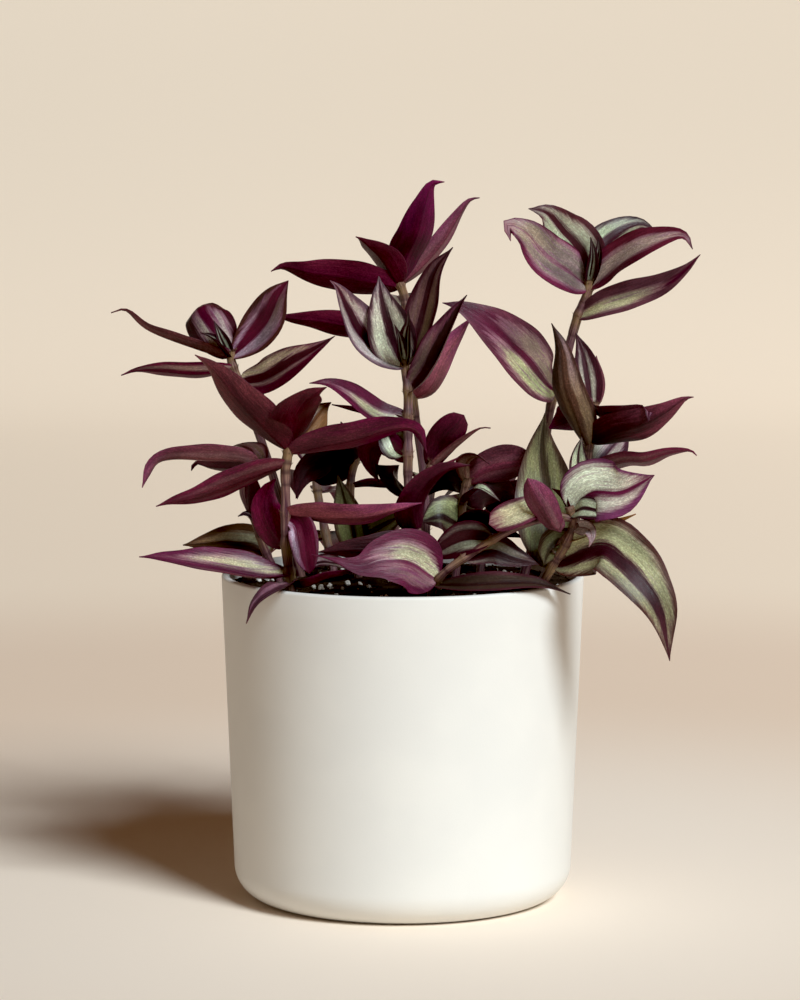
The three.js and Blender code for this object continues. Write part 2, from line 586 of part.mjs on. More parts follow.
        [-21, 9, 177], [-24, 10, 184]),
      leaf({ at: 0.35, width: 12, fold: 12, face: [0, -1, 0.3] },
        [-12, -4, 143], [-4, -9, 148], [2, -12, 151]),
      leaf({ at: 0.15, width: 12, fold: 12, face: [0, -0.5, 1] },
        [-25, -6, 131], [-32, -12, 132], [-38, -16, 129]),
      leaf({ at: 0.97, width: 17, fold: 12, face: [0, 0.9, 0.4] },
        [-25, 7, 167], [-33, 4, 166], [-41, 6, 166]),
      leaf({ at: 0.78, width: 9, fold: 15, face: [0, 0.5, 1] },
        [-13, 8, 160], [-6, 10, 159], [1, 12, 158]),
    ]),
  ]),
  leafyStem("leafy_stem_back_right_low", [
    stem(1.7, [
      [30, 22, 120], [33, 28, 139], [36, 32, 157], [38, 34, 165]
    ], [
      leaf({ at: 1, width: 12, fold: 15, face: [0, -0.3, 1] },
        [43, 42, 165], [51, 50, 161]),
      leaf({ at: 0.95, width: 13, fold: 15, face: [0, -0.3, 1] },
        [27, 38, 159], [20, 44, 154], [14, 48, 148]),
      leaf({ at: 1, width: 15, fold: 15, face: [0, -0.5, 1] },
        [39, 52, 163], [41, 70, 157], [43, 84, 146]),
      leaf({ at: 0.5, width: 13, fold: 12, face: [0, -1, 0.5] },
        [27, 6, 150], [18, -4, 153], [9, -12, 152]),
      leaf({ at: 0.6, width: 12, fold: 12, face: [0, 1, 0.3] },
        [38, 20, 152], [43, 14, 158], [46, 10, 162]),
      leaf({ at: 0.4, width: 8, fold: 15, face: [0, -1, 0.2] },
        [27, 8, 142], [23, 2, 147], [21, 0, 151]),
    ]),
  ]),
  leafyStem("leafy_stem_back_left_low", [
    stem(1.7, [
      [-27, 34, 120], [-31, 42, 138], [-34, 48, 153], [-35, 52, 164]
    ], [
      leaf({ at: 1, width: 15, fold: 15, face: [0, -0.4, 1] },
        [-36, 64, 168], [-34, 78, 166], [-32, 92, 160]),
      leaf({ at: 0.9, width: 14, fold: 15, face: [0, -0.4, 1] },
        [-39, 62, 160], [-42, 76, 155], [-43, 88, 145]),
      leaf({ at: 0.75, width: 13, fold: 15, face: [0, -0.4, 1] },
        [-30, 62, 152], [-28, 76, 152], [-28, 88, 145]),
      leaf({ at: 0.4, width: 15, fold: 15, face: [0, -0.4, 1] },
        [-29, 60, 134], [-29, 78, 129], [-28, 92, 118]),
      leaf({ at: 0.35, width: 14, fold: 15, face: [0, -0.4, 1] },
        [-39, 50, 133], [-46, 58, 132], [-53, 64, 126]),
    ]),
  ]),
  leafyStem("leafy_stem_back_centre", [
    stem(1.7, [
      [5, 44, 119], [9, 54, 136], [11, 60, 148], [12, 64, 155]
    ], [
      leaf({ at: 1, width: 14, fold: 15, face: [0, -0.4, 1] },
        [10, 76, 157], [9, 94, 152]),
      leaf({ at: 0.95, width: 14, fold: 15, face: [0, -0.4, 1] },
        [18, 74, 155], [24, 86, 152], [28, 94, 145]),
      leaf({ at: 0.5, width: 14, fold: 15, face: [0, -0.4, 1] },
        [4, 66, 139], [-2, 80, 135], [-6, 90, 127]),
      leaf({ at: 0.3, width: 14, fold: 15, face: [0, -0.4, 1] },
        [9, 72, 128], [11, 90, 123], [12, 100, 113]),
    ]),
  ]),
  leafyStem("leafy_stem_back_right", [
    stem(1.7, [
      [56, 20, 122], [62, 30, 137], [67, 38, 149], [70, 44, 156]
    ], [
      leaf({ at: 1, width: 15, fold: 15, face: [0, -0.4, 1] },
        [75, 58, 159], [79, 72, 159], [82, 86, 153]),
      leaf({ at: 0.95, width: 13, fold: 15, face: [0, -0.4, 1] },
        [79, 50, 157], [87, 60, 156], [92, 66, 154]),
      leaf({ at: 0.85, width: 14, fold: 15, face: [0, -0.4, 1] },
        [66, 56, 154], [62, 70, 154], [60, 82, 148]),
      leaf({ at: 0.45, width: 14, fold: 15, face: [0, -0.4, 1] },
        [69, 48, 139], [75, 62, 135], [80, 74, 127]),
      leaf({ at: 0.3, width: 13, fold: 15, face: [0, -0.4, 1] },
        [61, 46, 131], [62, 64, 126], [62, 78, 115]),
    ]),
  ]),
];

const part = new THREE.Group();
part.add(meshFromSolid("pot", potSolid(), colours.pot));
part.add(meshFromSolid("soil", soilSolid(soilHoles), colours.soil));
part.add(...plant);

export default part;
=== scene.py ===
# Dresses the potted tradescantia: fine leaves, stems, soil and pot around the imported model.
import bpy
import math
import numpy as np
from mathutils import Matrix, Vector


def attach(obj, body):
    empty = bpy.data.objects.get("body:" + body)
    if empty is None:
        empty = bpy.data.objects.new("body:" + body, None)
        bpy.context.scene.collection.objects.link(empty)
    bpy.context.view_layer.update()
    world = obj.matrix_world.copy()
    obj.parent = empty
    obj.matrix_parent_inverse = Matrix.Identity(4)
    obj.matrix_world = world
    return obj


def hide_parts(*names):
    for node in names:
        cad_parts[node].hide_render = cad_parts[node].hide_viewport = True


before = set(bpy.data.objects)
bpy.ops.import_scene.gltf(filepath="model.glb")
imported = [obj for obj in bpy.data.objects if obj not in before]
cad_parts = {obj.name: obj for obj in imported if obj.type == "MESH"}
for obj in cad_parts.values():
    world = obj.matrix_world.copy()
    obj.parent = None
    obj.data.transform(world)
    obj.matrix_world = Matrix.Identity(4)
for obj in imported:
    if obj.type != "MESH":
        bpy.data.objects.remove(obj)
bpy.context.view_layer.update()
mm = 0.001


def srgb(code):
    # a colour such as "b9bda2" as Blender's linear values
    parts = [int(code[i:i + 2], 16) / 255 for i in (0, 2, 4)]
    return tuple(p / 12.92 if p <= 0.04045 else ((p + 0.055) / 1.055) ** 2.4 for p in parts) + (1.0,)


class Wire:
    # one output socket of a node tree; sums and products with it become math nodes of that tree
    def __init__(self, socket):
        self.socket, self.tree = socket, socket.id_data

    def __add__(self, other): return calc("ADD", self, other)
    def __sub__(self, other): return calc("SUBTRACT", self, other)
    def __rsub__(self, other): return calc("SUBTRACT", other, self)
    def __mul__(self, other): return calc("MULTIPLY", self, other)
    def __truediv__(self, other): return calc("DIVIDE", self, other)
    def __rtruediv__(self, other): return calc("DIVIDE", other, self)
    def __pow__(self, other): return calc("POWER", self, other)
    def __abs__(self): return calc("ABSOLUTE", self)


def treeOf(*values):
    return next(value.tree for value in values if isinstance(value, Wire))


def feed(socket, value):
    # a socket takes a wire or a plain value
    if isinstance(value, Wire):
        value.tree.links.new(value.socket, socket)
    else:
        socket.default_value = value


def node(tree, kind, **settings):
    # settings with a capital are input sockets, the others belong to the node itself
    made = tree.nodes.new(kind)
    for name, value in settings.items():
        if name[0].isupper():
            feed(made.inputs[name.replace("_", " ")], value)
        else:
            setattr(made, name, value)
    return made


def wire(tree, kind, output=0, **settings):
    return Wire(node(tree, kind, **settings).outputs[output])


def ordered(kind, values, **settings):
    # a node whose inputs take the values in their own order
    made = node(treeOf(*values), kind, **settings)
    for socket, value in zip(made.inputs, values):
        feed(socket, value)
    return Wire(made.outputs[0])


def calc(operation, *values):
    return ordered("ShaderNodeMath", values, operation=operation)


def scaled(vector, amounts):
    return ordered("ShaderNodeVectorMath", (vector, amounts), operation="MULTIPLY")


def stretched(vector, amount):
    return wire(vector.tree, "ShaderNodeVectorMath", operation="SCALE", Vector=vector, Scale=amount)


def combined(*values):
    return ordered("ShaderNodeCombineXYZ", values)


def splitXyz(vector):
    return tuple(Wire(socket) for socket in node(vector.tree, "ShaderNodeSeparateXYZ", Vector=vector).outputs)


def mixColour(factor, first, second, mode="MIX"):
    made = node(treeOf(factor, first, second), "ShaderNodeMix", data_type="RGBA", blend_type=mode)
    for place, value in ((0, factor), (6, first), (7, second)):  # the node's colour sockets
        feed(made.inputs[place], value)
    return Wire(made.outputs[2])


def rampUp(value, low, high, smallest=0.0, largest=1.0):
    # smooth change from smallest to largest while value goes from low to high
    return ordered("ShaderNodeMapRange", (value, low, high, smallest, largest),
                   interpolation_type="SMOOTHSTEP")


def noise(vector, scale, detail=3.0, roughness=0.5):
    return wire(vector.tree, "ShaderNodeTexNoise", Vector=vector, Scale=scale, Detail=detail,
                Roughness=roughness)


def attribute(tree, name, output="Vector"):
    return wire(tree, "ShaderNodeAttribute", output, attribute_name=name)


def bump(height, distance, strength=1.0):
    return wire(height.tree, "ShaderNodeBump", Height=height, Distance=distance, Strength=strength)


def feedAll(made, **values):
    for name, value in values.items():
        feed(made.inputs[name.replace("_", " ")], value)


def newMaterial(name, **values):
    # an empty material whose shader already has its plain values
    material = bpy.data.materials.new(name)
    material.use_nodes = True
    shader = material.node_tree.nodes["Principled BSDF"]
    feedAll(shader, **values)
    return material, material.node_tree, shader


def wiresOf(made):
    return {socket.name: Wire(socket) for socket in made.outputs}


def newTree(kind, name, inputs, outputs):
    # a tree with named inputs, given by their first value or else their kind, and outputs by their kind
    tree = bpy.data.node_groups.new(name, kind)
    for label, value in inputs.items():
        word = {int: "Int", float: "Float"}.get(type(value), value)
        socket = tree.interface.new_socket(label, in_out="INPUT", socket_type="NodeSocket" + word)
        if word != value:
            socket.default_value = value
    for label, word in outputs.items():
        tree.interface.new_socket(label, in_out="OUTPUT", socket_type="NodeSocket" + word)
    return tree, wiresOf(node(tree, "NodeGroupInput")), node(tree, "NodeGroupOutput")


def useGroup(tree, group, **inputs):
    return wiresOf(node(tree, "ShaderNodeGroup", node_tree=group, **inputs))


def makeFibreGroup():
    # fine lines along a leaf or stem: a slow streak, a sharp fibre and a sparkle of single cells
    group, given, result = newTree("ShaderNodeTree", "fibres", {
        "Place": "Vector", "Width": 1.0, "Length": 16.0, "Cell": 0.3}, {
        "Streak": "Float", "Fibre": "Float", "Cells": "Float"})
    across, along, seed = splitXyz(given["Place"])
    squeezed = combined(across / given["Width"], along / given["Length"], seed)
    cells = wire(group, "ShaderNodeTexVoronoi", "Color", feature="F1",
                 Vector=scaled(given["Place"], (1.0, 0.5, 1.0)), Scale=1.0 / given["Cell"])
    feedAll(result, Streak=noise(squeezed, 1.0, 3.0, 0.6),
            Fibre=noise(scaled(squeezed, (4.5, 1.6, 1.0)), 1.0, 2.0, 0.6), Cells=splitXyz(cells)[0])
    return group


def makeMottleGroup():
    # soft clouds and small grain on object coordinates, for pot, soil and perlite
    group, given, result = newTree("ShaderNodeTree", "mottle", {"Cloud size": 0.03, "Grain size": 0.001},
                                   {"Cloud": "Float", "Grain": "Float"})
    place = wire(group, "ShaderNodeTexCoord", "Object")
    feedAll(result, Cloud=noise(place, 1.0 / given["Cloud size"]),
            Grain=noise(place, 1.0 / given["Grain size"], 4.0, 0.65))
    return group


fibreGroup = makeFibreGroup()
mottleGroup = makeMottleGroup()
print("shared shader groups ready")


def newMottled(name, finish, **values):
    # a material with clouds and grain; it takes their sizes and the bump's depth from the piece's own values
    material, tree, shader = newMaterial(name, **values)
    mottle = useGroup(tree, mottleGroup, Cloud_size=finish["cloudSize"], Grain_size=finish["grainSize"])
    feed(shader.inputs["Normal"], bump(mottle["Grain"], finish["bumpDepth"], finish["bumpStrength"]))
    return material, shader, mottle["Cloud"], mottle["Grain"]


def newGrowth(name, inputs):
    return newTree("GeometryNodeTree", name, {"Geometry": "Geometry", **inputs}, {"Geometry": "Geometry"})


def finishGrowth(result, geometry, material):
    # every growth ends as real faces that wear their material
    real = wire(geometry.tree, "GeometryNodeRealizeInstances", Geometry=geometry)
    feed(result.inputs[0], wire(geometry.tree, "GeometryNodeSetMaterial", Geometry=real, Material=material))
    return geometry.tree


def grow(name, carrier, tree, **values):
    # runs the tree on the carrier and keeps the outcome as a plain mesh
    modifier = carrier.modifiers.new("growth", "NODES")
    modifier.node_group = tree
    for item in tree.interface.items_tree:
        if item.in_out == "INPUT" and item.name in values:
            modifier[item.identifier] = values[item.name]
    evaluated = carrier.evaluated_get(bpy.context.evaluated_depsgraph_get())
    mesh = bpy.data.meshes.new_from_object(evaluated)
    carrier.modifiers.remove(modifier)
    bpy.data.objects.remove(carrier)
    return addPiece(name, mesh)


def addPiece(name, mesh, material=None):
    mesh.name = name
    piece = bpy.data.objects.new(name, mesh)
    bpy.context.scene.collection.objects.link(piece)
    if material:
        mesh.materials.append(material)
    return piece


def turned(name, profile, sides):
    # turns a closed profile of (radius, height) in millimetres about the upright axis
    corners, rings, faces = [], [], []
    for radius, height in profile:
        around = sides if radius > 0 else 1
        rings.append([len(corners) + i for i in range(around)])
        corners += [(radius * mm * math.cos(a), radius * mm * math.sin(a), height * mm)
                    for a in (2 * math.pi * i / sides for i in range(around))]
    for low, high in zip(rings, rings[1:]):
        for i in range(sides):
            j = (i + 1) % sides
            if len(low) == 1:
                faces.append((low[0], high[j], high[i]))
            elif len(high) == 1:
                faces.append((low[i], low[j], high[0]))
            else:
                faces.append((low[i], low[j], high[j], high[i]))
    mesh = bpy.data.meshes.new(name)
    mesh.from_pydata(corners, [], faces)
    mesh.update()
    mesh.shade_smooth()
    return mesh


def arc(centreRadius, centreHeight, radius, start, end, steps):
    angles = [math.radians(start + (end - start) * i / steps) for i in range(steps + 1)]
    return [(centreRadius + radius * math.cos(a), centreHeight + radius * math.sin(a)) for a in angles]


# The pot
pot = {
    "height": 126.3, "rimRadius": 70.0, "footRadius": 65.5, "wall": 2.8, "floor": 4.2,
    "footRound": 13.0, "innerRound": 9.0, "rimRound": 1.1, "sides": 160, "footSteps": 14, "wallSteps": 12,
    "rimSteps": 5, "innerSteps": 8, "cornerSteps": 6, "floorMiddle": 20,
    "colour": "e1dfd9", "shadeColour": "eeebe3", "speckColour": "d8cfbc", "roughness": (0.48, 0.53),
    "cloudSize": 0.035, "grainSize": 0.0007, "bumpDepth": 0.00006, "bumpStrength": 0.5,
}


def potInner(height):
    return pot["footRadius"] - pot["wall"] + (pot["rimRadius"] - pot["footRadius"]) * height / pot["height"]


def makePotMaterial():
    material, shader, cloud, grain = newMottled("potFinish", pot, Specular_IOR_Level=0.35, Roughness=0.5)
    colour = mixColour(rampUp(cloud, 0.35, 0.7, 0.0, 0.3), srgb(pot["colour"]), srgb(pot["shadeColour"]))
    speck = rampUp(grain, 0.7, 0.78, 0.0, 0.35)
    feedAll(shader, Base_Color=mixColour(speck, colour, srgb(pot["speckColour"])),
            Roughness=rampUp(cloud, 0.3, 0.7, *pot["roughness"]))
    return material


def makePot():
    def straight(start, end, steps):
        # the points between two ends of a wall
        return [tuple(np.array(start) + (np.array(end) - start) * i / steps) for i in range(1, steps)]

    foot, rim, corner = pot["footRadius"] - pot["footRound"], pot["rimRound"], pot["innerRound"]
    rimHeight, inside = pot["height"] - rim, pot["rimRadius"] - pot["wall"]
    outerLow, outerHigh = (pot["footRadius"], pot["footRound"]), (pot["rimRadius"], rimHeight)
    innerLow = (potInner(pot["floor"]), pot["floor"] + corner)
    profile = ([(0, 0), (foot * 0.5, 0), (foot - 1, 0)]
               + arc(foot, pot["footRound"], pot["footRound"], -90, 0, pot["footSteps"])
               + straight(outerLow, outerHigh, pot["wallSteps"])
               + arc(pot["rimRadius"] - rim, rimHeight, rim, 0, 90, pot["rimSteps"])
               + arc(inside + rim, rimHeight, rim, 90, 180, pot["rimSteps"])
               + straight((inside, rimHeight), innerLow, pot["innerSteps"])
               + arc(innerLow[0] - corner, innerLow[1], corner, 0, -90, pot["cornerSteps"])
               + [(pot["floorMiddle"], pot["floor"]), (0, pot["floor"])])
    return addPiece("potBody", turned("potBody", profile, pot["sides"]), makePotMaterial())


potBody = makePot()
print("pot ready")

# The soil, with crumbs on it
soil = {
    "edgeHeight": 121.5, "mound": 3.5, "spread": 42.0, "wallGap": 0.3, "sides": 128, "rings": 40,
    "darkColour": "1c130e", "lightColour": "3a2a20", "fleckColour": "5a4330", "crumbs": 60000.0,
    "crumbSize": 1.0, "smallestCrumb": (0.2, 0.2, 0.15), "largestCrumb": (1.1, 0.9, 0.7),
    "roughHeight": 1.6, "roughScale": 190.0, "upward": 0.6, "seed": 4,
    "cloudSize": 0.006, "grainSize": 0.0006, "bumpDepth": 0.0004, "bumpStrength": 1.0,
    "roughness": (0.75, 0.98),
}
# pale grains: x, y, size in mm, where the photograph shows them, and how many more lie about
perlite = {
    "seen": [(-56, 7, 2.6), (-53, 9, 2.2), (-50, 5, 2.8), (-49, -8, 2.2), (-46, -9, 1.8), (-31, -24, 3.0),
             (-28, -20, 2.4), (-34, -19, 2.0), (-21, -16, 2.6), (3, -31, 2.2), (1, -27, 1.8), (14, -28, 3.0),
             (11, -31, 2.4), (17, -26, 2.0), (-25, -38, 1.8), (-8, -44, 1.6), (-41, -24, 1.8)],
    "scattered": 45, "outermost": 62, "smallest": 0.8, "largest": 2.2, "sunk": 0.2, "seed": 11,
    "colour": "e9e4da", "pitColour": "b8aea0", "flattest": (0.8, 0.7, 0.6), "fullest": (1.1, 1.0, 0.8),
    "lumpiness": 0.35, "lumpHeight": 0.006, "lumpScale": 900.0,
    "cloudSize": 0.002, "grainSize": 0.0004, "bumpDepth": 0.0003, "bumpStrength": 1.0,
    "roughness": (0.65, 0.95),
}


def soilTop(radius):
    return soil["edgeHeight"] + soil["mound"] * np.exp(-(np.asarray(radius) / soil["spread"]) ** 2)


def makeSoilMaterial():
    material, shader, cloud, grain = newMottled("soilFinish", soil, Specular_IOR_Level=0.1, Roughness=0.95)
    colour = mixColour(rampUp(cloud, 0.35, 0.68), srgb(soil["darkColour"]), srgb(soil["lightColour"]))
    fleck = rampUp(grain, 0.62, 0.72, 0.0, 0.6)
    feedAll(shader, Base_Color=mixColour(fleck, colour, srgb(soil["fleckColour"])),
            Roughness=rampUp(cloud, 0.3, 0.7, *soil["roughness"]))
    return material


def makePerliteMaterial():
    material, shader, cloud, grain = newMottled("perliteFinish", perlite, Specular_IOR_Level=0.3,
                                                Roughness=0.8)
    colour = mixColour(rampUp(cloud, 0.4, 0.7), srgb(perlite["colour"]), srgb(perlite["pitColour"]))
    feedAll(shader, Base_Color=colour, Roughness=rampUp(grain, 0.3, 0.7, *perlite["roughness"]))
    return material


def randomVector(low, high, seed):
    return wire(seed.tree, "FunctionNodeRandomValue", data_type="FLOAT_VECTOR", Min=low, Max=high, Seed=seed)


def randomTurn(seed):
    return randomVector((-math.pi,) * 3, (math.pi,) * 3, seed)


def named(tree, label, kind="FLOAT"):
    return wire(tree, "GeometryNodeInputNamedAttribute", data_type=kind, Name=label)


def joined(*parts):
    made = node(treeOf(*parts), "GeometryNodeJoinGeometry")
    for part in parts:
        feed(made.inputs[0], part)
    return Wire(made.outputs[0])


def makeSoilTree(material):
    # roughens the top of the mound and strews crumbs over it
    tree, given, result = newGrowth("soilCrumbs", {
        "Crumbs per square metre": soil["crumbs"], "Crumb size": soil["crumbSize"] * mm,
        "Rough height": soil["roughHeight"] * mm, "Seed": soil["seed"]})
    facesUp = calc("GREATER_THAN", splitXyz(wire(tree, "GeometryNodeInputNormal"))[2], soil["upward"])
    lumps = noise(wire(tree, "GeometryNodeInputPosition"), soil["roughScale"], 5.0, 0.65) - 0.5
    rise = lumps * (given["Rough height"] * (facesUp * 2.0))  # the lumps go from -0.5 to 0.5
    rough = wire(tree, "GeometryNodeSetPosition", Geometry=given["Geometry"], Offset=combined(0.0, 0.0, rise))
    points = wire(tree, "GeometryNodeDistributePointsOnFaces", Mesh=rough, Selection=facesUp,
                  Density=given["Crumbs per square metre"], Seed=given["Seed"])
    crumb = wire(tree, "GeometryNodeMeshIcoSphere", Subdivisions=1, Radius=given["Crumb size"])
    strewn = wire(tree, "GeometryNodeInstanceOnPoints", Points=points, Instance=crumb,
                  Rotation=randomTurn(given["Seed"]),
                  Scale=randomVector(soil["smallestCrumb"], soil["largestCrumb"], given["Seed"]))
    return finishGrowth(result, joined(rough, strewn), material)


def makeSoil():
    edge, corner = potInner(soil["edgeHeight"]) - soil["wallGap"], pot["innerRound"]
    floorRadius = potInner(pot["floor"]) - corner - soil["wallGap"]
    radii = edge * (1 - np.arange(soil["rings"] + 1) / soil["rings"])
    profile = ([(0, pot["floor"])]
               + arc(floorRadius, pot["floor"] + corner, corner, -90, 0, pot["cornerSteps"])
               + [(r, float(soilTop(r))) for r in radii])
    carrier = addPiece("soilShape", turned("soilShape", profile, soil["sides"]))
    return grow("soilMound", carrier, makeSoilTree(makeSoilMaterial()), Seed=soil["seed"])


def makePerliteTree(material):
    # one lumpy grain on every point, sized by the point's own attribute
    tree, given, result = newGrowth("perliteGrains", {
        "Lumpiness": perlite["lumpiness"], "Seed": perlite["seed"]})
    grain = wire(tree, "GeometryNodeMeshIcoSphere", Subdivisions=3, Radius=0.5)
    squash = randomVector(perlite["flattest"], perlite["fullest"], given["Seed"])
    placed = wire(tree, "GeometryNodeInstanceOnPoints", Points=given["Geometry"], Instance=grain,
                  Rotation=randomTurn(given["Seed"]), Scale=stretched(squash, named(tree, "grainSize")))
    real = wire(tree, "GeometryNodeRealizeInstances", Geometry=placed)
    lump = noise(wire(tree, "GeometryNodeInputPosition"), perlite["lumpScale"], 2.0, 0.6) - 0.5
    height = given["Lumpiness"] * perlite["lumpHeight"]
    lumpy = wire(tree, "GeometryNodeSetPosition", Geometry=real,
                 Offset=stretched(wire(tree, "GeometryNodeInputNormal"), lump * height))
    return finishGrowth(result, lumpy, material)


def makePerlite():
    draw = np.random.default_rng(perlite["seed"])
    spots = list(perlite["seen"])
    for _ in range(perlite["scattered"]):
        angle, radius = draw.uniform(0, 2 * math.pi), perlite["outermost"] * math.sqrt(draw.uniform(0, 1))
        spots.append((radius * math.cos(angle), radius * math.sin(angle),
                      draw.uniform(perlite["smallest"], perlite["largest"])))
    mesh = bpy.data.meshes.new("perliteSpots")
    mesh.from_pydata([(x * mm, y * mm, (float(soilTop(math.hypot(x, y))) + perlite["sunk"] * size) * mm)
                      for x, y, size in spots], [], [])
    sizes = mesh.attributes.new("grainSize", "FLOAT", "POINT")
    sizes.data.foreach_set("value", [size * mm for x, y, size in spots])
    tree = makePerliteTree(makePerliteMaterial())
    return grow("soilPerlite", addPiece("perliteSpots", mesh), tree, Seed=perlite["seed"])


soilMound = makeSoil()
soilPerlite = makePerlite()
soilMound.data.shade_smooth()
print("soil ready,", len(soilMound.data.polygons), "faces")


# The leaves' looks. Upper side: a band on each half, given by where it starts and ends between rib (0) and
# margin (1) and how strong it is; reach is the share of the length where the bands end, flush how far the
# ground spreads over them near the tip, lilac how much they blush. Lower side: under turns into far towards
# margin and tip, partly the leaf's own colour and partly a painted sheen, and through is how strongly the
# bands show there.
def look(band, ground, under, far=None, tip="8c7276", edge=None, left=(0.17, 0.76, 1), right=None, reach=1.0,
         flush=0.35, lilac=0.5, through=0.0, dry=0.0):
    return {"colours": {"bandColour": srgb(band), "tipColour": srgb(tip), "groundColour": srgb(ground),
                        "edgeColour": srgb(edge or ground), "underColour": srgb(under),
                        "farColour": srgb(far or under)},
            "left": left, "right": right or left, "form": (reach, flush, through), "wear": (dry, lilac)}


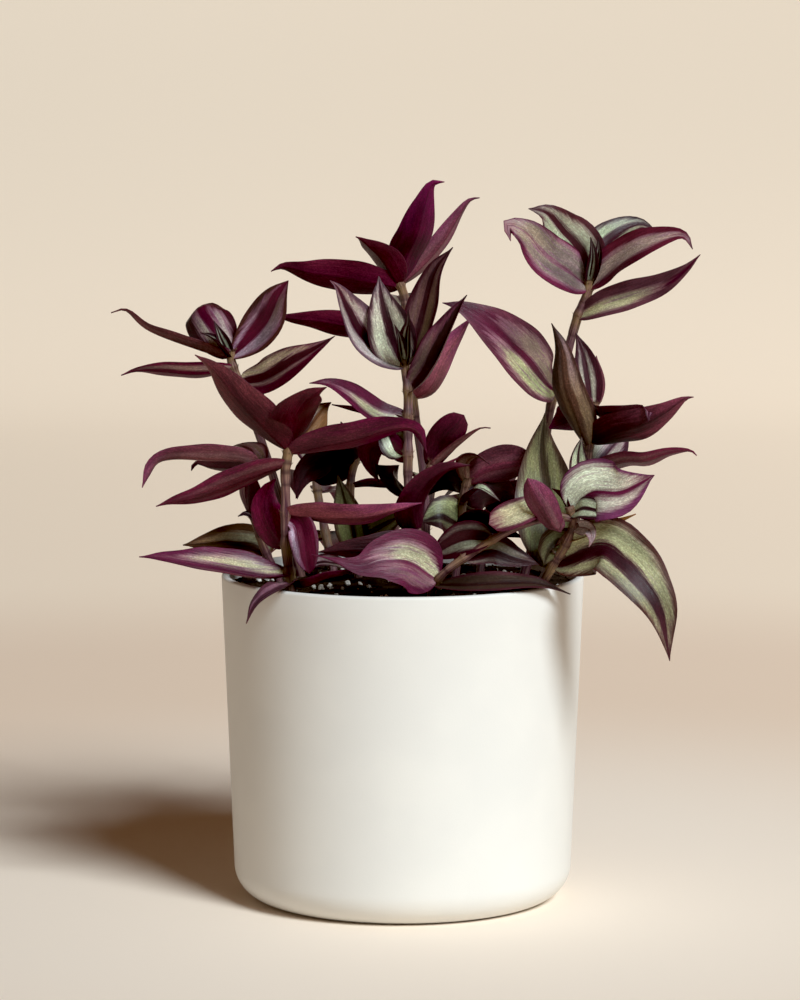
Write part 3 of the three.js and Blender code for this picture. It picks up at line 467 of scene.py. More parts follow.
leafLooks = {
    "silver": look("b0b198", "3e1228", "461024", "5a1432", flush=0.5, lilac=0.6),
    "mint": look("bcc6a4", "30161f", "46122a", tip="9aa088", left=(0.16, 0.78, 1), flush=0.1, lilac=0.3),
    "budding": look("c2ccb0", "2a1018", "3c1022", tip="8c9080", left=(0.22, 0.5, 1), flush=0.3, lilac=0.2),
    "lilac": look("ab949a", "5c1238", "581034", "6c1440", left=(0.2, 0.72, 1), flush=0.6, lilac=0.8),
    "cream": look("b8b384", "661438", "5a1030", "6c1838", left=(0.18, 0.72, 1), flush=0.5, lilac=0.7),
    "domed": look("b7ab9c", "5e0a30", "460c26", tip="94586c", edge="3c0618", left=(0.2, 0.62, 1),
        right=(0.22, 0.66, 0.9), reach=0.66, flush=0.8, lilac=1.0),
    "blushRib": look("a892a0", "600a2e", "560c2c", tip="745442", edge="5a3028", left=(0.5, 0.78, 0.9),
        right=(0.06, 0.74, 1), flush=0.2, lilac=1.0),
    "halfTaupe": look("b29f80", "400c18", "4c0c20", tip="6c4440", edge="581028", left=(0.44, 0.94, 1),
        right=(0.14, 0.38, 0.55), reach=0.95, flush=0.1, lilac=0.5),
    "smoky": look("80706a", "5a2a34", "541430", tip="98886e", edge="702044", left=(0.0, 0.74, 1),
        right=(0.05, 0.92, 1), flush=0.2, lilac=0.9),
    "pale": look("ced4ba", "40202c", "46122a", tip="b0a89c", edge="442a34", left=(0.22, 0.84, 1),
        right=(0.2, 0.78, 0.95), flush=0.2, lilac=0.5),
    "narrowPale": look("ccc6b0", "4e2430", "461024", left=(0.34, 0.62, 1), right=(0.1, 0.44, 1), flush=0.1,
        lilac=0.3),
    "pearl": look("c0b4b0", "440c24", "5a1634", tip="a89c8c", edge="705464", left=(0.2, 0.84, 1),
        right=(0.3, 0.8, 0.95), flush=0.2, lilac=0.6),
    "pinkSilver": look("c2aca0", "641a34", "561030", tip="a08478", edge="6e2238", left=(-0.2, 0.52, 1),
        right=(-0.2, 0.4, 1), flush=0.2, lilac=0.7),
    "greenSilver": look("b9c4a0", "461522", "42122a", tip="9a9a80", edge="54242c", left=(0.04, 0.84, 1),
        right=(0.3, 0.74, 0.75), flush=0.1, lilac=0.4),
    "slimSilver": look("94a07c", "38101f", "3c0e1e", tip="8c8c70", edge="34181c", left=(0.3, 0.84, 1),
        right=(0.2, 0.64, 0.9), flush=0.2, lilac=0.3),
    "halfCream": look("bab68c", "5a1030", "5a1430", tip="8c6a5c", edge="744450", left=(-0.2, 0.32, 1),
        right=(-0.2, 0.62, 1), reach=0.72, flush=0.5, lilac=0.7),
    "blushed": look("b4b884", "580e32", "561030", tip="84506a", edge="683044", left=(0.16, 0.8, 1),
        right=(0.16, 0.8, 0.7), reach=0.72, flush=0.6, lilac=1.0),
    "foldedCream": look("bdb48c", "642440", "64303a", "6c1c44", tip="a08070", edge="6c1444",
        left=(0.2, 0.7, 0.12), right=(0.24, 0.74, 1), reach=0.84, flush=0.5, lilac=0.8),
    "creamPatch": look("c4c09c", "6c2446", "5c1438", "6c1c44", tip="a8707c", edge="641c3e",
        left=(0.16, 0.7, 0.18), right=(-0.1, 0.58, 1), reach=0.62, flush=0.5, lilac=1.0),
    "creamHeart": look("bbb890", "6e3048", "561430", tip="8a6068", edge="601038", left=(-0.2, 0.42, 1),
        right=(-0.2, 0.3, 1), reach=0.74, flush=0.5, lilac=0.8),
    "onlyCream": look("bcb890", "7a4048", "5c1a36", tip="b4a886", edge="6c2c40", left=(-0.2, 0.74, 1),
        right=(-0.2, 0.8, 1), flush=0.1, lilac=0.4),
    "bright": look("ccd2ba", "701e46", "5c1034", tip="bcb0a0", edge="82406a", left=(0.04, 0.88, 1),
        right=(0.2, 0.72, 0.85), flush=0.3, lilac=0.55),
    # glossed: its lilac-silver band on one half paints a sheen on a magenta leaf
    "glossed": look("b4a0b0", "600a30", "5c0830", tip="8c6c80", edge="4e0a2a", left=(0.8, 1.2, 0.1),
        right=(0.52, 0.95, 1), flush=0.1, lilac=0.9),
    "olive": look("64503c", "2a0e12", "421a20", tip="5c4034", edge="3c141e", left=(0.26, 0.8, 0.7),
        right=(0.14, 0.74, 1), flush=0.3, lilac=0.3),
    "darkOlive": look("6c5848", "2c1215", "3c1018", tip="7c2c50", edge="5c1c38", left=(0.5, 0.9, 0.9),
        right=(0.3, 0.7, 0.5), flush=0.4, lilac=0.4),
    # oliveShine: its left band is partly the leaf's silver-green band and partly a painted glossy streak
    "oliveShine": look("8e907a", "3a1a1e", "4c0c20", tip="5c4038", edge="3c0c1a", left=(0.0, 0.62, 1),
        right=(0.6, 0.86, 0.35), flush=0.3, lilac=0.2),
    "umber": look("5c4638", "361410", "44201c", "54302a", tip="54342e", edge="361410", left=(0.2, 0.8, 1),
        lilac=0.3),
    "rimBrown": look("44362a", "241812", "300c14", tip="44342a", edge="4c242c", left=(0.2, 0.8, 0.5),
        lilac=0.0),
    "green": look("70724a", "38331c", "3c1a20", tip="6c6846", edge="4c3c2a", left=(0.12, 0.84, 1),
        right=(0.22, 0.74, 1), flush=0.1, lilac=0.1),
    "sideGreen": look("84885e", "201510", "340c16", tip="6c7050", edge="2c1412", left=(0.3, 0.46, 0.7),
        right=(0.1, 0.84, 1), flush=0.1, lilac=0.1),
    "banded": look("a4a47c", "3c1420", "48102a", tip="8a8660", edge="56382e", left=(0.16, 0.8, 1),
        right=(0.42, 0.84, 0.9), flush=0.05, lilac=0.3),
    "rusty": look("7a7860", "342a20", "340f12", tip="7a5c3c", edge="4c3826", left=(0.3, 0.5, 0.3),
        right=(0.06, 0.6, 1), flush=0.2, lilac=0.1, dry=0.1),
    "dried": look("a68c68", "3a1c1c", "7a5a3c", tip="86705a", edge="7c6248", left=(0.1, 0.7, 1),
        right=(0.2, 0.6, 0.6), flush=0.1, lilac=0.1, dry=0.45),
    "straw": look("a8763c", "7c4c28", "8c5c30", tip="9a6a38", flush=0.1, lilac=0.0, dry=0.9),
    "bract": look("c8b4ae", "a07c78", "b8a098", left=(0.05, 0.9, 1), flush=0.2, lilac=0.2),
    "curled": look("b49c84", "5c2c30", "6a4038", "64303c", left=(0.1, 0.7, 0.7), through=0.4, lilac=0.3),
    "streakedMagenta": look("b89c94", "5e0834", "5a0c2e", "681238", left=(0.35, 0.75, 1), right=(1, 1.2, 0),
        through=0.75, flush=0.1, lilac=0.7),
    "dustyMagenta": look("9a8078", "64203c", "52222a", "601634", left=(0.3, 0.7, 0.5), through=0.3,
        lilac=0.7),
    "mauve": look("b89a9c", "6a3046", "7c4c52", "7e3c58", left=(0.2, 0.6, 0.55), right=(0.3, 0.8, 0.3),
        through=0.5, flush=0.3, lilac=0.9),
    "mauveTip": look("a8908c", "6a2440", "5e2e38", "6a3048", left=(0.2, 0.6, 0.5), right=(0.3, 0.8, 0.3),
        through=0.3, lilac=0.7),
    "roseBrown": look("a08880", "6a2440", "5c2634", "562a34", left=(0.2, 0.6, 0.3), through=0.3, lilac=0.7),
    "dusky": look("a08c80", "583440", "6a4040", "5e3034", left=(0.3, 0.7, 0.4), through=0.35, lilac=0.8),
    "barky": look("8c765a", "3e261c", "50362a", "3c241e", left=(0.34, 0.82, 1), right=(0.06, 0.42, 0.7),
        through=0.8, flush=0.1, lilac=0.2),
}
# leaves that mostly show their wine-red lower side: band, ground, under, far, start of band, flush, lilac
plainLooks = {
    "wineBrown": ("90807a", "4c1428", "42121c", "5c2a30", 0.22, 0.5, 0.7),
    "wineRed": ("90807a", "4c1428", "460a1c", "541a2a", 0.22, 0.5, 0.7),
    "wineLight": ("90807a", "4c1428", "54122a", "5e1a30", 0.22, 0.5, 0.7),
    "shadedWine": ("847c70", "3e0e22", "300c14", "682e3e", 0.2, 0.4, 0.6),
    # deepWine: a darker copy of the wine lower side for leaves that sit in shade, partly painted shade
    "deepWine": ("847c70", "3e0e22", "360c1a", "481024", 0.2, 0.4, 0.6),
    # black: nearly black leaves set deep among the stems, painted shade standing in for the foliage's shadow
    "black": ("5c5c4c", "200a10", "20080e", "34141a", 0.2, 0.4, 0.4),
    "magenta": ("98888c", "620838", "4e0a28", "5e0e3c", 0.24, 0.6, 0.8),
    "brightMagenta": ("98888c", "620838", "560e2a", "661438", 0.24, 0.6, 0.8),
    "brownMagenta": ("90807a", "4c1428", "582632", "560a30", 0.22, 0.5, 0.7),
    "rose": ("9a8a88", "702048", "8e4e58", "884060", 0.22, 0.5, 0.8),
    "plum": ("988c80", "541238", "50102a", "601438", 0.2, 0.5, 0.7),
}
leafLooks.update({
    name: look(band, ground, under, far, left=(start, 0.76, 1), flush=flush, lilac=lilac)
    for name, (band, ground, under, far, start, flush, lilac) in plainLooks.items()})

leafFinish = {
    "fibreWidth": 1.1, "fibreLength": 15.0, "cell": 0.3, "cloudStretch": (0.16, 0.05, 1.0), "veins": 4.5,
    "lilacColour": "8e6478", "lineColour": "3c1c26", "shadeColour": "1e040b", "brownColour": "44262a",
    "blushColour": "8a4c6c", "underLine": "14030a", "dryColour": "a86c34", "dryLine": "6a4a2c",
    "rimColour": "4a1a2c", "sparkle": (1.6, 1.7, 1.72, 1.0), "paleCells": (2.1, 1.9, 2.0, 1.0),
    "frayByStreak": 0.36, "frayByFibre": 0.26, "innerEdge": (-0.09, 0.1), "outerEdge": (-0.17, 0.1),
    "tipEdge": (-0.26, 0.03), "lineStrength": 0.5, "sparkleStrength": 0.5, "shadeStrength": 0.6,
    "brownStrength": 0.22, "meetingStrength": 2.6, "blushStrength": 0.8, "underLineStrength": 0.45,
    "paleStrength": 0.3, "cellContrast": 0.22, "cloudContrast": 0.6, "rimStrength": 0.5,
    "roughness": 0.44, "upperRoughness": -0.1, "cellRoughness": 0.12, "coat": 0.35, "bumpDepth": 0.00026,
}


def makeLeafMaterial():
    finish = leafFinish
    material, tree, shader = newMaterial("leafFinish", Specular_IOR_Level=0.2, Subsurface_Weight=0.05,
                                         Subsurface_Scale=0.001, Coat_Roughness=0.4)
    across, along, side = splitXyz(attribute(tree, "leafMap"))
    place = attribute(tree, "leafPlace")
    reach, flush, through = splitXyz(attribute(tree, "leafForm"))
    dry, lilac, _ = splitXyz(attribute(tree, "leafWear"))
    band, tip, ground, edge, under, far = (attribute(tree, name + "Colour", "Color") for name in (
        "band", "tip", "ground", "edge", "under", "far"))
    fibres = useGroup(tree, fibreGroup, Place=place, Width=finish["fibreWidth"], Length=finish["fibreLength"],
                      Cell=finish["cell"])
    streak, fibre, cells = fibres["Streak"] - 0.5, fibres["Fibre"] - 0.5, fibres["Cells"]
    clouds = noise(scaled(place, finish["cloudStretch"]), 1.0, 2.0)
    outward = abs(across)
    # fine lines along the blade that run together at the tip
    veins = rampUp(calc("PINGPONG", fibre * 0.12 + across * finish["veins"], 0.5), 0.3, 0.5)
    veins = veins * rampUp(streak, -0.2, 0.2)
    wavering = outward + (streak * finish["frayByStreak"] + fibre * finish["frayByFibre"])
    onRight = rampUp(across + fibre * 0.1, -0.04, 0.04)
    halves = mixColour(onRight, attribute(tree, "leafLeft"), attribute(tree, "leafRight"))
    start, end, strength = splitXyz(halves)
    # the ground spreads inward from the margin and outward from the rib towards the tip
    spread = flush * rampUp(along, 0.3, 1.0)
    inner = rampUp(wavering - (spread * 0.14 + start), *finish["innerEdge"])
    outer = rampUp(wavering + (spread * 0.4 - end), *finish["outerEdge"], 1.0, 0.0)
    ends = rampUp(streak * 0.5 + along - reach, *finish["tipEdge"], 1.0, 0.0)
    cover = inner * outer * (ends * strength)
    # a band: paler cells, darker lines, lilac streaks
    bandColour = mixColour(rampUp(streak * 0.6 + along, 0.3, 0.95), band, tip)
    bandColour = mixColour(rampUp(streak, 0.02, -0.22) * lilac, bandColour, srgb(finish["lilacColour"]))
    lines = calc("MAXIMUM", rampUp(fibre, 0.04, 0.3), veins * 0.9)
    lineColour = mixColour(0.6, tip, srgb(finish["lineColour"]))
    bandColour = mixColour(lines * finish["lineStrength"], bandColour, lineColour)
    sparkle = mixColour(1.0, bandColour, finish["sparkle"], "MULTIPLY")
    bandColour = mixColour(rampUp(cells, 0.45, 1.0) * finish["sparkleStrength"], bandColour, sparkle)
    groundColour = mixColour(rampUp(wavering - end, -0.2, 0.0), ground, edge)
    shaded = mixColour(finish["shadeStrength"], groundColour, srgb(finish["shadeColour"]))
    groundColour = mixColour(rampUp(fibre, -0.2, 0.3), groundColour, shaded)
    groundColour = mixColour(finish["brownStrength"], groundColour, srgb(finish["brownColour"]))
    upper = mixColour(cover, groundColour, bandColour)
    # lilac and pink where band and ground meet, and over the band of a blushing leaf
    meeting = cover * (1.0 - cover) * finish["meetingStrength"]
    blush = spread * cover * rampUp(streak, -0.25, 0.2)
    blush = calc("MAXIMUM", meeting, blush) * (lilac * finish["blushStrength"])
    upper = mixColour(blush, upper, srgb(finish["blushColour"]))
    # the lower side: dark lines and rib, pale cells, and the bands where they show through
    # the paler far colour towards margin and tip is partly the leaf's own colour, partly painted sheen
    lower = mixColour(rampUp(outward * 0.45 + (along * 0.65 + streak * 0.9), 0.3, 0.85), under, far)
    lines = calc("MAXIMUM", rampUp(fibre, 0.0, 0.3), rampUp(outward, 0.06, 0.0) * 0.7)
    lower = mixColour(lines * finish["underLineStrength"], lower, srgb(finish["underLine"]))
    pale = mixColour(1.0, lower, finish["paleCells"], "MULTIPLY")
    speckle = calc("MAXIMUM", veins, rampUp(cells, 0.55, 0.9) * 1.2)
    lower = mixColour(speckle * finish["paleStrength"], lower, pale)
    lower = mixColour(cover * through, lower, bandColour)
    isUpper = rampUp(side, -0.05, 0.05)
    colour = mixColour(isUpper, lower, upper)
    # speckled cells, darker and lighter clouds
    lively = ((rampUp(cells, 0.0, 1.0) * finish["cellContrast"] + 0.9)
              * (rampUp(clouds, 0.3, 0.7) * finish["cloudContrast"] + 0.62))
    colour = mixColour(1.0, colour, lively, "MULTIPLY")
    # dry leaves turn ochre and brown from the margin and tip
    dryColour = mixColour(rampUp(fibre, -0.2, 0.25), srgb(finish["dryColour"]), srgb(finish["dryLine"]))
    colour = mixColour(dry * rampUp(along + outward + streak * 1.6, 0.3, 1.1), colour, dryColour)
    rim = rampUp(outward, 0.95, 0.99) * finish["rimStrength"]
    colour = mixColour(rim, colour, srgb(finish["rimColour"]))
    smoother = isUpper * finish["upperRoughness"] + finish["roughness"]
    feedAll(shader, Base_Color=colour, Coat_Weight=cover * isUpper * finish["coat"],
            Roughness=cells * finish["cellRoughness"] + smoother,
            Normal=bump(fibres["Fibre"] * 0.6 + (cells * 0.2 + veins * 0.25), finish["bumpDepth"], 0.7))
    return material


stemFinish = {
    "skin": "714852", "pale": "8c685e", "streak": "4a2232", "joint": "937848", "line": "3a1c20",
    "fibreLine": "c2a68e", "fibreWidth": 0.7, "fibreLength": 22.0, "cell": 0.4, "bumpDepth": 0.0003,
}


def makeStemMaterial():
    finish = stemFinish
    material, tree, shader = newMaterial("stemSkin", Roughness=0.45, Specular_IOR_Level=0.4,
                                         Subsurface_Weight=0.05, Subsurface_Scale=0.0008)
    joint, ringLine, tint = splitXyz(attribute(tree, "stemMarks"))
    fibres = useGroup(tree, fibreGroup, Place=attribute(tree, "stemPlace"), Width=finish["fibreWidth"],
                      Length=finish["fibreLength"], Cell=finish["cell"])
    streak, fibre = fibres["Streak"], fibres["Fibre"]
    skin = mixColour(tint, srgb(finish["skin"]), srgb(finish["pale"]))
    colour = mixColour(rampUp(streak, 0.42, 0.62), srgb(finish["streak"]), skin)
    colour = mixColour(rampUp(fibre, 0.5, 0.75) * 0.45, colour, srgb(finish["fibreLine"]))
    colour = mixColour(joint * rampUp(fibre, 0.25, 0.6), colour, srgb(finish["joint"]))
    colour = mixColour(ringLine * 0.8, colour, srgb(finish["line"]))
    feedAll(shader, Base_Color=colour, Roughness=rampUp(streak, 0.3, 0.7, 0.38, 0.55),
            Normal=bump(fibre + fibres["Cells"] * 0.2, finish["bumpDepth"], 0.7))
    return material


# The paths of stems and midribs
pathDetail = {"steps": 60, "lookAhead": 0.01}


def pathThrough(points):
    # a smooth path in metres through the points, with the distance walked at each of its small steps
    knots = np.array(points, float) * mm
    knots = np.vstack([2 * knots[0] - knots[1], knots, 2 * knots[-1] - knots[-2]])
    t = np.linspace(0, 1, pathDetail["steps"], endpoint=False)[:, None]
    parts = [0.5 * (2 * b + (c - a) * t + (2 * a - 5 * b + 4 * c - d) * t ** 2
                    + (3 * b - a - 3 * c + d) * t ** 3)
             for a, b, c, d in zip(knots, knots[1:], knots[2:], knots[3:])]
    places = np.vstack(parts + [knots[-2:-1]])
    return places, np.concatenate([[0], np.cumsum(np.linalg.norm(np.diff(places, axis=0), axis=1))])


def walk(path, shares):
    places, distance = path
    at = np.clip(shares, 0, 1) * distance[-1]
    return np.stack([np.interp(at, distance, places[:, k]) for k in range(3)], -1)


def unit(vectors):
    return vectors / np.linalg.norm(vectors, axis=-1, keepdims=True)


def heading(path, shares):
    shares = np.asarray(shares)
    return unit(walk(path, shares + pathDetail["lookAhead"]) - walk(path, shares - pathDetail["lookAhead"]))


def smooth(value, low, high):
    t = np.clip((np.asarray(value, float) - low) / (high - low), 0, 1)
    return t * t * (3 - 2 * t)


class Gathered:
    # rows of points with their values, added run by run, for one growth to start from
    def __init__(self):
        self.places, self.edges, self.values, self.count = [], [], {}, 0

    def add(self, places, linked=True, **values):
        number = len(places)
        self.places.append(places)
        if linked:
            self.edges += [(self.count + i, self.count + i + 1) for i in range(number - 1)]
        for label, value in values.items():
            value = np.asarray(value, float)
            whole = value if value.shape[:1] == (number,) else np.tile(value, (number,) + (1,) * value.ndim)
            self.values.setdefault(label, []).append(whole)
        self.count += number

    def carrier(self, name):
        mesh = bpy.data.meshes.new(name)
        mesh.from_pydata([tuple(p) for p in np.vstack(self.places)], self.edges, [])
        for label, rows in self.values.items():
            value = np.concatenate(rows)
            kind, field = {1: ("FLOAT", "value"), 3: ("FLOAT_VECTOR", "vector"), 4: ("FLOAT_COLOR", "color")}[
                value.shape[1] if value.ndim > 1 else 1]
            mesh.attributes.new(label, kind, "POINT").data.foreach_set(field, value.ravel())
        return addPiece(name, mesh)


# The blades
blade = {
    "rootHalf": 1.0, "tipHalf": 0.14, "fullness": 0.97, "draw": 1.8, "foldAtTip": 0.75, "foldAtRoot": 1.25,
    "rowLength": 1.8, "fewestRows": 16, "mostRows": 40, "crowding": 1.15, "outline": 32, "thickness": 0.55,
    "groove": 0.3, "keel": 0.25, "ribFade": (0.8, 3.0), "ribWidth": 0.8, "roundness": 1.5, "spacing": 1.3,
    "ripple": 0.22, "rippleWidth": 18, "rippleLength": 17.0, "rippleStart": (0.08, 0.4),
    "rippleEnd": (0.85, 1), "halfShift": 1.7, "seedStep": 7.31,
}


def bladeBulge(share, swell, taper):
    # how broad the blade is at a share of its length: 1 where it is broadest, then drawn out to a point
    broadest = (swell / (swell + taper * blade["draw"])) ** (1 / blade["draw"])
    raw, top = (s ** swell * (1 - s ** blade["draw"]) ** taper for s in (share, broadest))
    return raw / top


def addBlade(rails, base, shape, number):
    path = pathThrough([base] + shape["points"])
    length = path[1][-1] / mm
    rows = int(np.clip(round(length / blade["rowLength"]), blade["fewestRows"], blade["mostRows"]))
    shares = np.linspace(0, 1, rows + 1) ** blade["crowding"]
    places, ahead = walk(path, shares), heading(path, shares)
    face = np.array(shape["face"], float)
    normal = unit(face - (ahead @ face)[:, None] * ahead)
    bulge = bladeBulge(shares, shape["swell"], shape["taper"])
    half = (blade["rootHalf"] * (1 - shares) + blade["tipHalf"] * shares
            + blade["fullness"] * shape["width"] / 2 * bulge)
    opening = blade["foldAtTip"] + (blade["foldAtRoot"] - blade["foldAtTip"]) * (1 - shares) ** 2
    ripple = blade["ripple"] * mm * shape["width"] / blade["rippleWidth"]
    calm = 1 - smooth(shares, *blade["rippleEnd"])
    dress = leafLooks[shape["look"]]
    rails.add(places, bladeAcross=np.cross(ahead, normal), bladeNormal=normal, bladeHalf=half * mm,
              bladeFold=np.radians(shape["fold"]) * opening, bladeAlong=shares, bladeDistance=shares * length,
              bladeRipple=ripple * smooth(shares, *blade["rippleStart"]) * calm,
              leafLeft=dress["left"], leafRight=dress["right"], leafForm=dress["form"],
              leafWear=dress["wear"] + (number * blade["seedStep"],), **dress["colours"])


def namedVector(tree, label):
    return named(tree, label, "FLOAT_VECTOR")


def store(geometry, label, value):
    # keeps a vector of every point under the label
    return wire(geometry.tree, "GeometryNodeStoreNamedAttribute", data_type="FLOAT_VECTOR", domain="POINT",
                Geometry=geometry, Name=label, Value=value)


def added(*vectors):
    total = vectors[0]
    for vector in vectors[1:]:
        total = ordered("ShaderNodeVectorMath", (total, vector), operation="ADD")
    return total


def sweep(rail, resolution, label):
    # draws a ring of points along every rail; the ring's own place is kept under the label
    tree = rail.tree
    centred = store(rail, "railCentre", wire(tree, "GeometryNodeInputPosition"))
    ring = wire(tree, "GeometryNodeCurvePrimitiveCircle", mode="RADIUS", Resolution=resolution, Radius=1.0)
    marked = store(ring, label, wire(tree, "GeometryNodeInputPosition"))
    curve = wire(tree, "GeometryNodeMeshToCurve", Mesh=centred)
    return wire(tree, "GeometryNodeCurveToMesh", Curve=curve, Profile_Curve=marked, Fill_Caps=True)


def moved(geometry, *vectors):
    return wire(geometry.tree, "GeometryNodeSetPosition", Geometry=geometry, Position=added(*vectors))


def makeBladeTree(material):
    # every midrib becomes one closed blade: folded, grooved along the rib, rippled at the margin
    tree, given, result = newGrowth("leafBlades", {
        "Outline": blade["outline"], "Thickness": blade["thickness"] * mm, "Groove": blade["groove"] * mm,
        "Keel": blade["keel"] * mm, "Roundness": blade["roundness"], "Rib width": blade["ribWidth"] * mm,
        "Ripple length": blade["rippleLength"]})
    shell = sweep(given["Geometry"], given["Outline"], "bladeRound")
    wide, deep, _ = splitXyz(namedVector(tree, "bladeRound"))
    seed = splitXyz(namedVector(tree, "leafWear"))[2]
    half, fold, distance = (named(tree, "blade" + label) for label in ("Half", "Fold", "Distance"))
    sign = calc("SIGN", wide)
    reach = abs(wide) ** blade["spacing"]
    across = sign * reach
    offRib = across * half
    sine, cosine = calc("SINE", fold), calc("COSINE", fold)
    rise = (reach ** given["Roundness"] - 0.5) * half * sine
    nearRib = offRib / given["Rib width"]
    narrowest, widest = blade["ribFade"]
    fade = calc("EXPONENT", nearRib * nearRib * -1.0) * rampUp(half, narrowest * mm, widest * mm)
    onTop = calc("GREATER_THAN", deep, 0.0)
    dent = fade * (onTop * given["Groove"] + (1.0 - onTop) * given["Keel"])
    # the ripple's phase makes a full turn each length and differs between the halves
    phase = distance / given["Ripple length"] * 6.283 + (seed + sign * blade["halfShift"])
    ripple = named(tree, "bladeRipple") * reach ** 3.0 * calc("SINE", phase)
    lift = rise + ripple - dent
    thick = deep * given["Thickness"] * 0.5
    shaped = moved(shell, namedVector(tree, "railCentre"),
                   stretched(namedVector(tree, "bladeAcross"), offRib * cosine - thick * sine * across),
                   stretched(namedVector(tree, "bladeNormal"), lift + thick * cosine))
    mapped = store(shaped, "leafMap", combined(across, named(tree, "bladeAlong"), deep))
    mapped = store(mapped, "leafPlace", combined(offRib / mm, distance, seed))
    return finishGrowth(result, mapped, material)


# The stems
stemShape = {
    "rootDepth": 12.0, "rootSunk": 2.5, "topTaper": 0.12, "ringStep": 0.9, "sides": 12, "seed": 21,
    "swelling": 0.24, "knotBefore": 1.3, "knotAfter": 2.6, "sheath": 0.1, "sheathLength": 7.0,
    "sheathEdge": (-0.8, 0.6), "jointStrongest": 0.8, "jointBack": 1.5, "jointLength": 3.5,
    "lineBack": 0.6, "lineWidth": 0.55,
    "tintLength": 19, "tintStep": 2.1, "patternStep": 53.0, "patternRadius": 1.8,
    "hairs": 22, "hairBack": 0.3, "hairForward": 0.8, "hairSpread": (0.3, 0.9), "hairShortest": 0.4,
    "hairLength": 1.9, "hairWidth": 0.07, "hairTaper": 0.15, "hairRoot": 1.05, "leastHair": 0.1,
}


def stemFrame(ahead):
    across = unit(np.cross(ahead, (0, 1, 0)))
    return across, np.cross(across, ahead)


def addStem(rails, path, radius, nodeShares, number, draw):
    length = path[1][-1] / mm
    shares = np.linspace(0, 1, int(length / stemShape["ringStep"]) + 2)
    distance = shares * length
    swell, joint, ringLine = np.zeros((3, len(shares)))
    marks = sorted(share * length for share in nodeShares)
    sheath, strongest = stemShape["sheathLength"], stemShape["jointStrongest"]
    for mark in marks:
        past = distance - mark
        knot = np.exp(-(past / np.where(past < 0, stemShape["knotBefore"], stemShape["knotAfter"])) ** 2)
        wrap = smooth(past + sheath, *stemShape["sheathEdge"]) * (past < 0)
        swell = np.maximum(swell, np.maximum(stemShape["swelling"] * knot, stemShape["sheath"] * wrap))
        paleJoint = np.exp(-((past + stemShape["jointBack"]) / stemShape["jointLength"]) ** 2)
        joint = np.maximum(joint, draw.uniform(0, strongest) * paleJoint)
        sheathLine = np.exp(-((past + sheath + stemShape["lineBack"]) / stemShape["lineWidth"]) ** 2)
        ringLine = np.maximum(ringLine, sheathLine)
    across, outward = stemFrame(heading(path, shares))
    # paler and darker along the stem
    tint = 0.5 + 0.5 * np.sin(distance / stemShape["tintLength"] + number * stemShape["tintStep"])
    rails.add(walk(path, shares), stemAcross=across, stemOutward=outward,
              stemRadius=radius * mm * (1 - stemShape["topTaper"] * shares) * (1 + swell),
              stemDistance=distance + number * stemShape["patternStep"],
              stemMarks=np.stack([joint, ringLine, tint], -1), hairLength=0.0, hairAim=(0, 0, 1))
    for mark in marks:
        share = (mark - stemShape["hairBack"]) / length
        if 0 < share < 1:
            addHairs(rails, walk(path, [share])[0], heading(path, [share])[0], radius, draw)


def addHairs(rails, centre, ahead, radius, draw):
    # a ring of loose points where a leaf sheath opens, each with the aim and length of its hair
    across, outward = stemFrame(ahead)
    turn = draw.uniform(0, 2 * math.pi, stemShape["hairs"])
    out = np.cos(turn)[:, None] * across + np.sin(turn)[:, None] * outward
    spread = draw.uniform(*stemShape["hairSpread"], len(turn))
    aim = unit(stemShape["hairForward"] * ahead + out * spread[:, None])
    lengths = draw.uniform(stemShape["hairShortest"], 1.0, len(turn)) * stemShape["hairLength"] * mm
    rails.add(centre + out * radius * mm * stemShape["hairRoot"], linked=False, stemAcross=across,
              stemOutward=outward, stemRadius=0.0, stemDistance=0.0, stemMarks=(0.5, 0, 1),
              hairLength=lengths, hairAim=aim)


def makeStemTree(material):
    # a ringed tube along every rail, and short hairs where the leaf sheaths open
    tree, given, result = newGrowth("stemTubes", {
        "Sides": stemShape["sides"], "Hair width": stemShape["hairWidth"] * mm})
    tube = sweep(given["Geometry"], given["Sides"], "stemRound")
    right, back, _ = splitXyz(namedVector(tree, "stemRound"))
    radius, length, wide = named(tree, "stemRadius"), named(tree, "hairLength"), given["Hair width"]
    pattern = stemShape["patternRadius"]
    shaped = moved(tube, namedVector(tree, "railCentre"),
                   stretched(namedVector(tree, "stemAcross"), right * radius),
                   stretched(namedVector(tree, "stemOutward"), back * radius))
    along = named(tree, "stemDistance")
    shaped = store(shaped, "stemPlace", combined(right * pattern, along, back * pattern))
    hair = wire(tree, "GeometryNodeMeshCone", Vertices=4, Radius_Top=stemShape["hairTaper"],
                Radius_Bottom=1.0, Depth=1.0)
    turn = wire(tree, "FunctionNodeAlignRotationToVector", axis="Z", Vector=namedVector(tree, "hairAim"))
    hasHair = calc("GREATER_THAN", length, stemShape["leastHair"] * mm)
    hairs = wire(tree, "GeometryNodeInstanceOnPoints", Points=given["Geometry"], Instance=hair, Rotation=turn,
                 Selection=hasHair, Scale=combined(wide, wide, length))
    return finishGrowth(result, joined(shaped, hairs), material)


# Where each leaf grows: its look, its share of the stem's length, its width, its fold in degrees, the way
# its upper side faces, and the points of its midrib
def leaf(look, at, width, fold, face, *points, swell=0.55, taper=1.35):
    return {"look": look, "at": at, "width": width, "fold": fold, "face": face, "points": list(points),
            "swell": swell, "taper": taper}


def spreadLeaf(look, at, width, *points):
    # a leaf that lies spread, its upper side up and a little to the front, as most at the back do
    return leaf(look, at, width, 15, (0, -0.4, 1), *points)


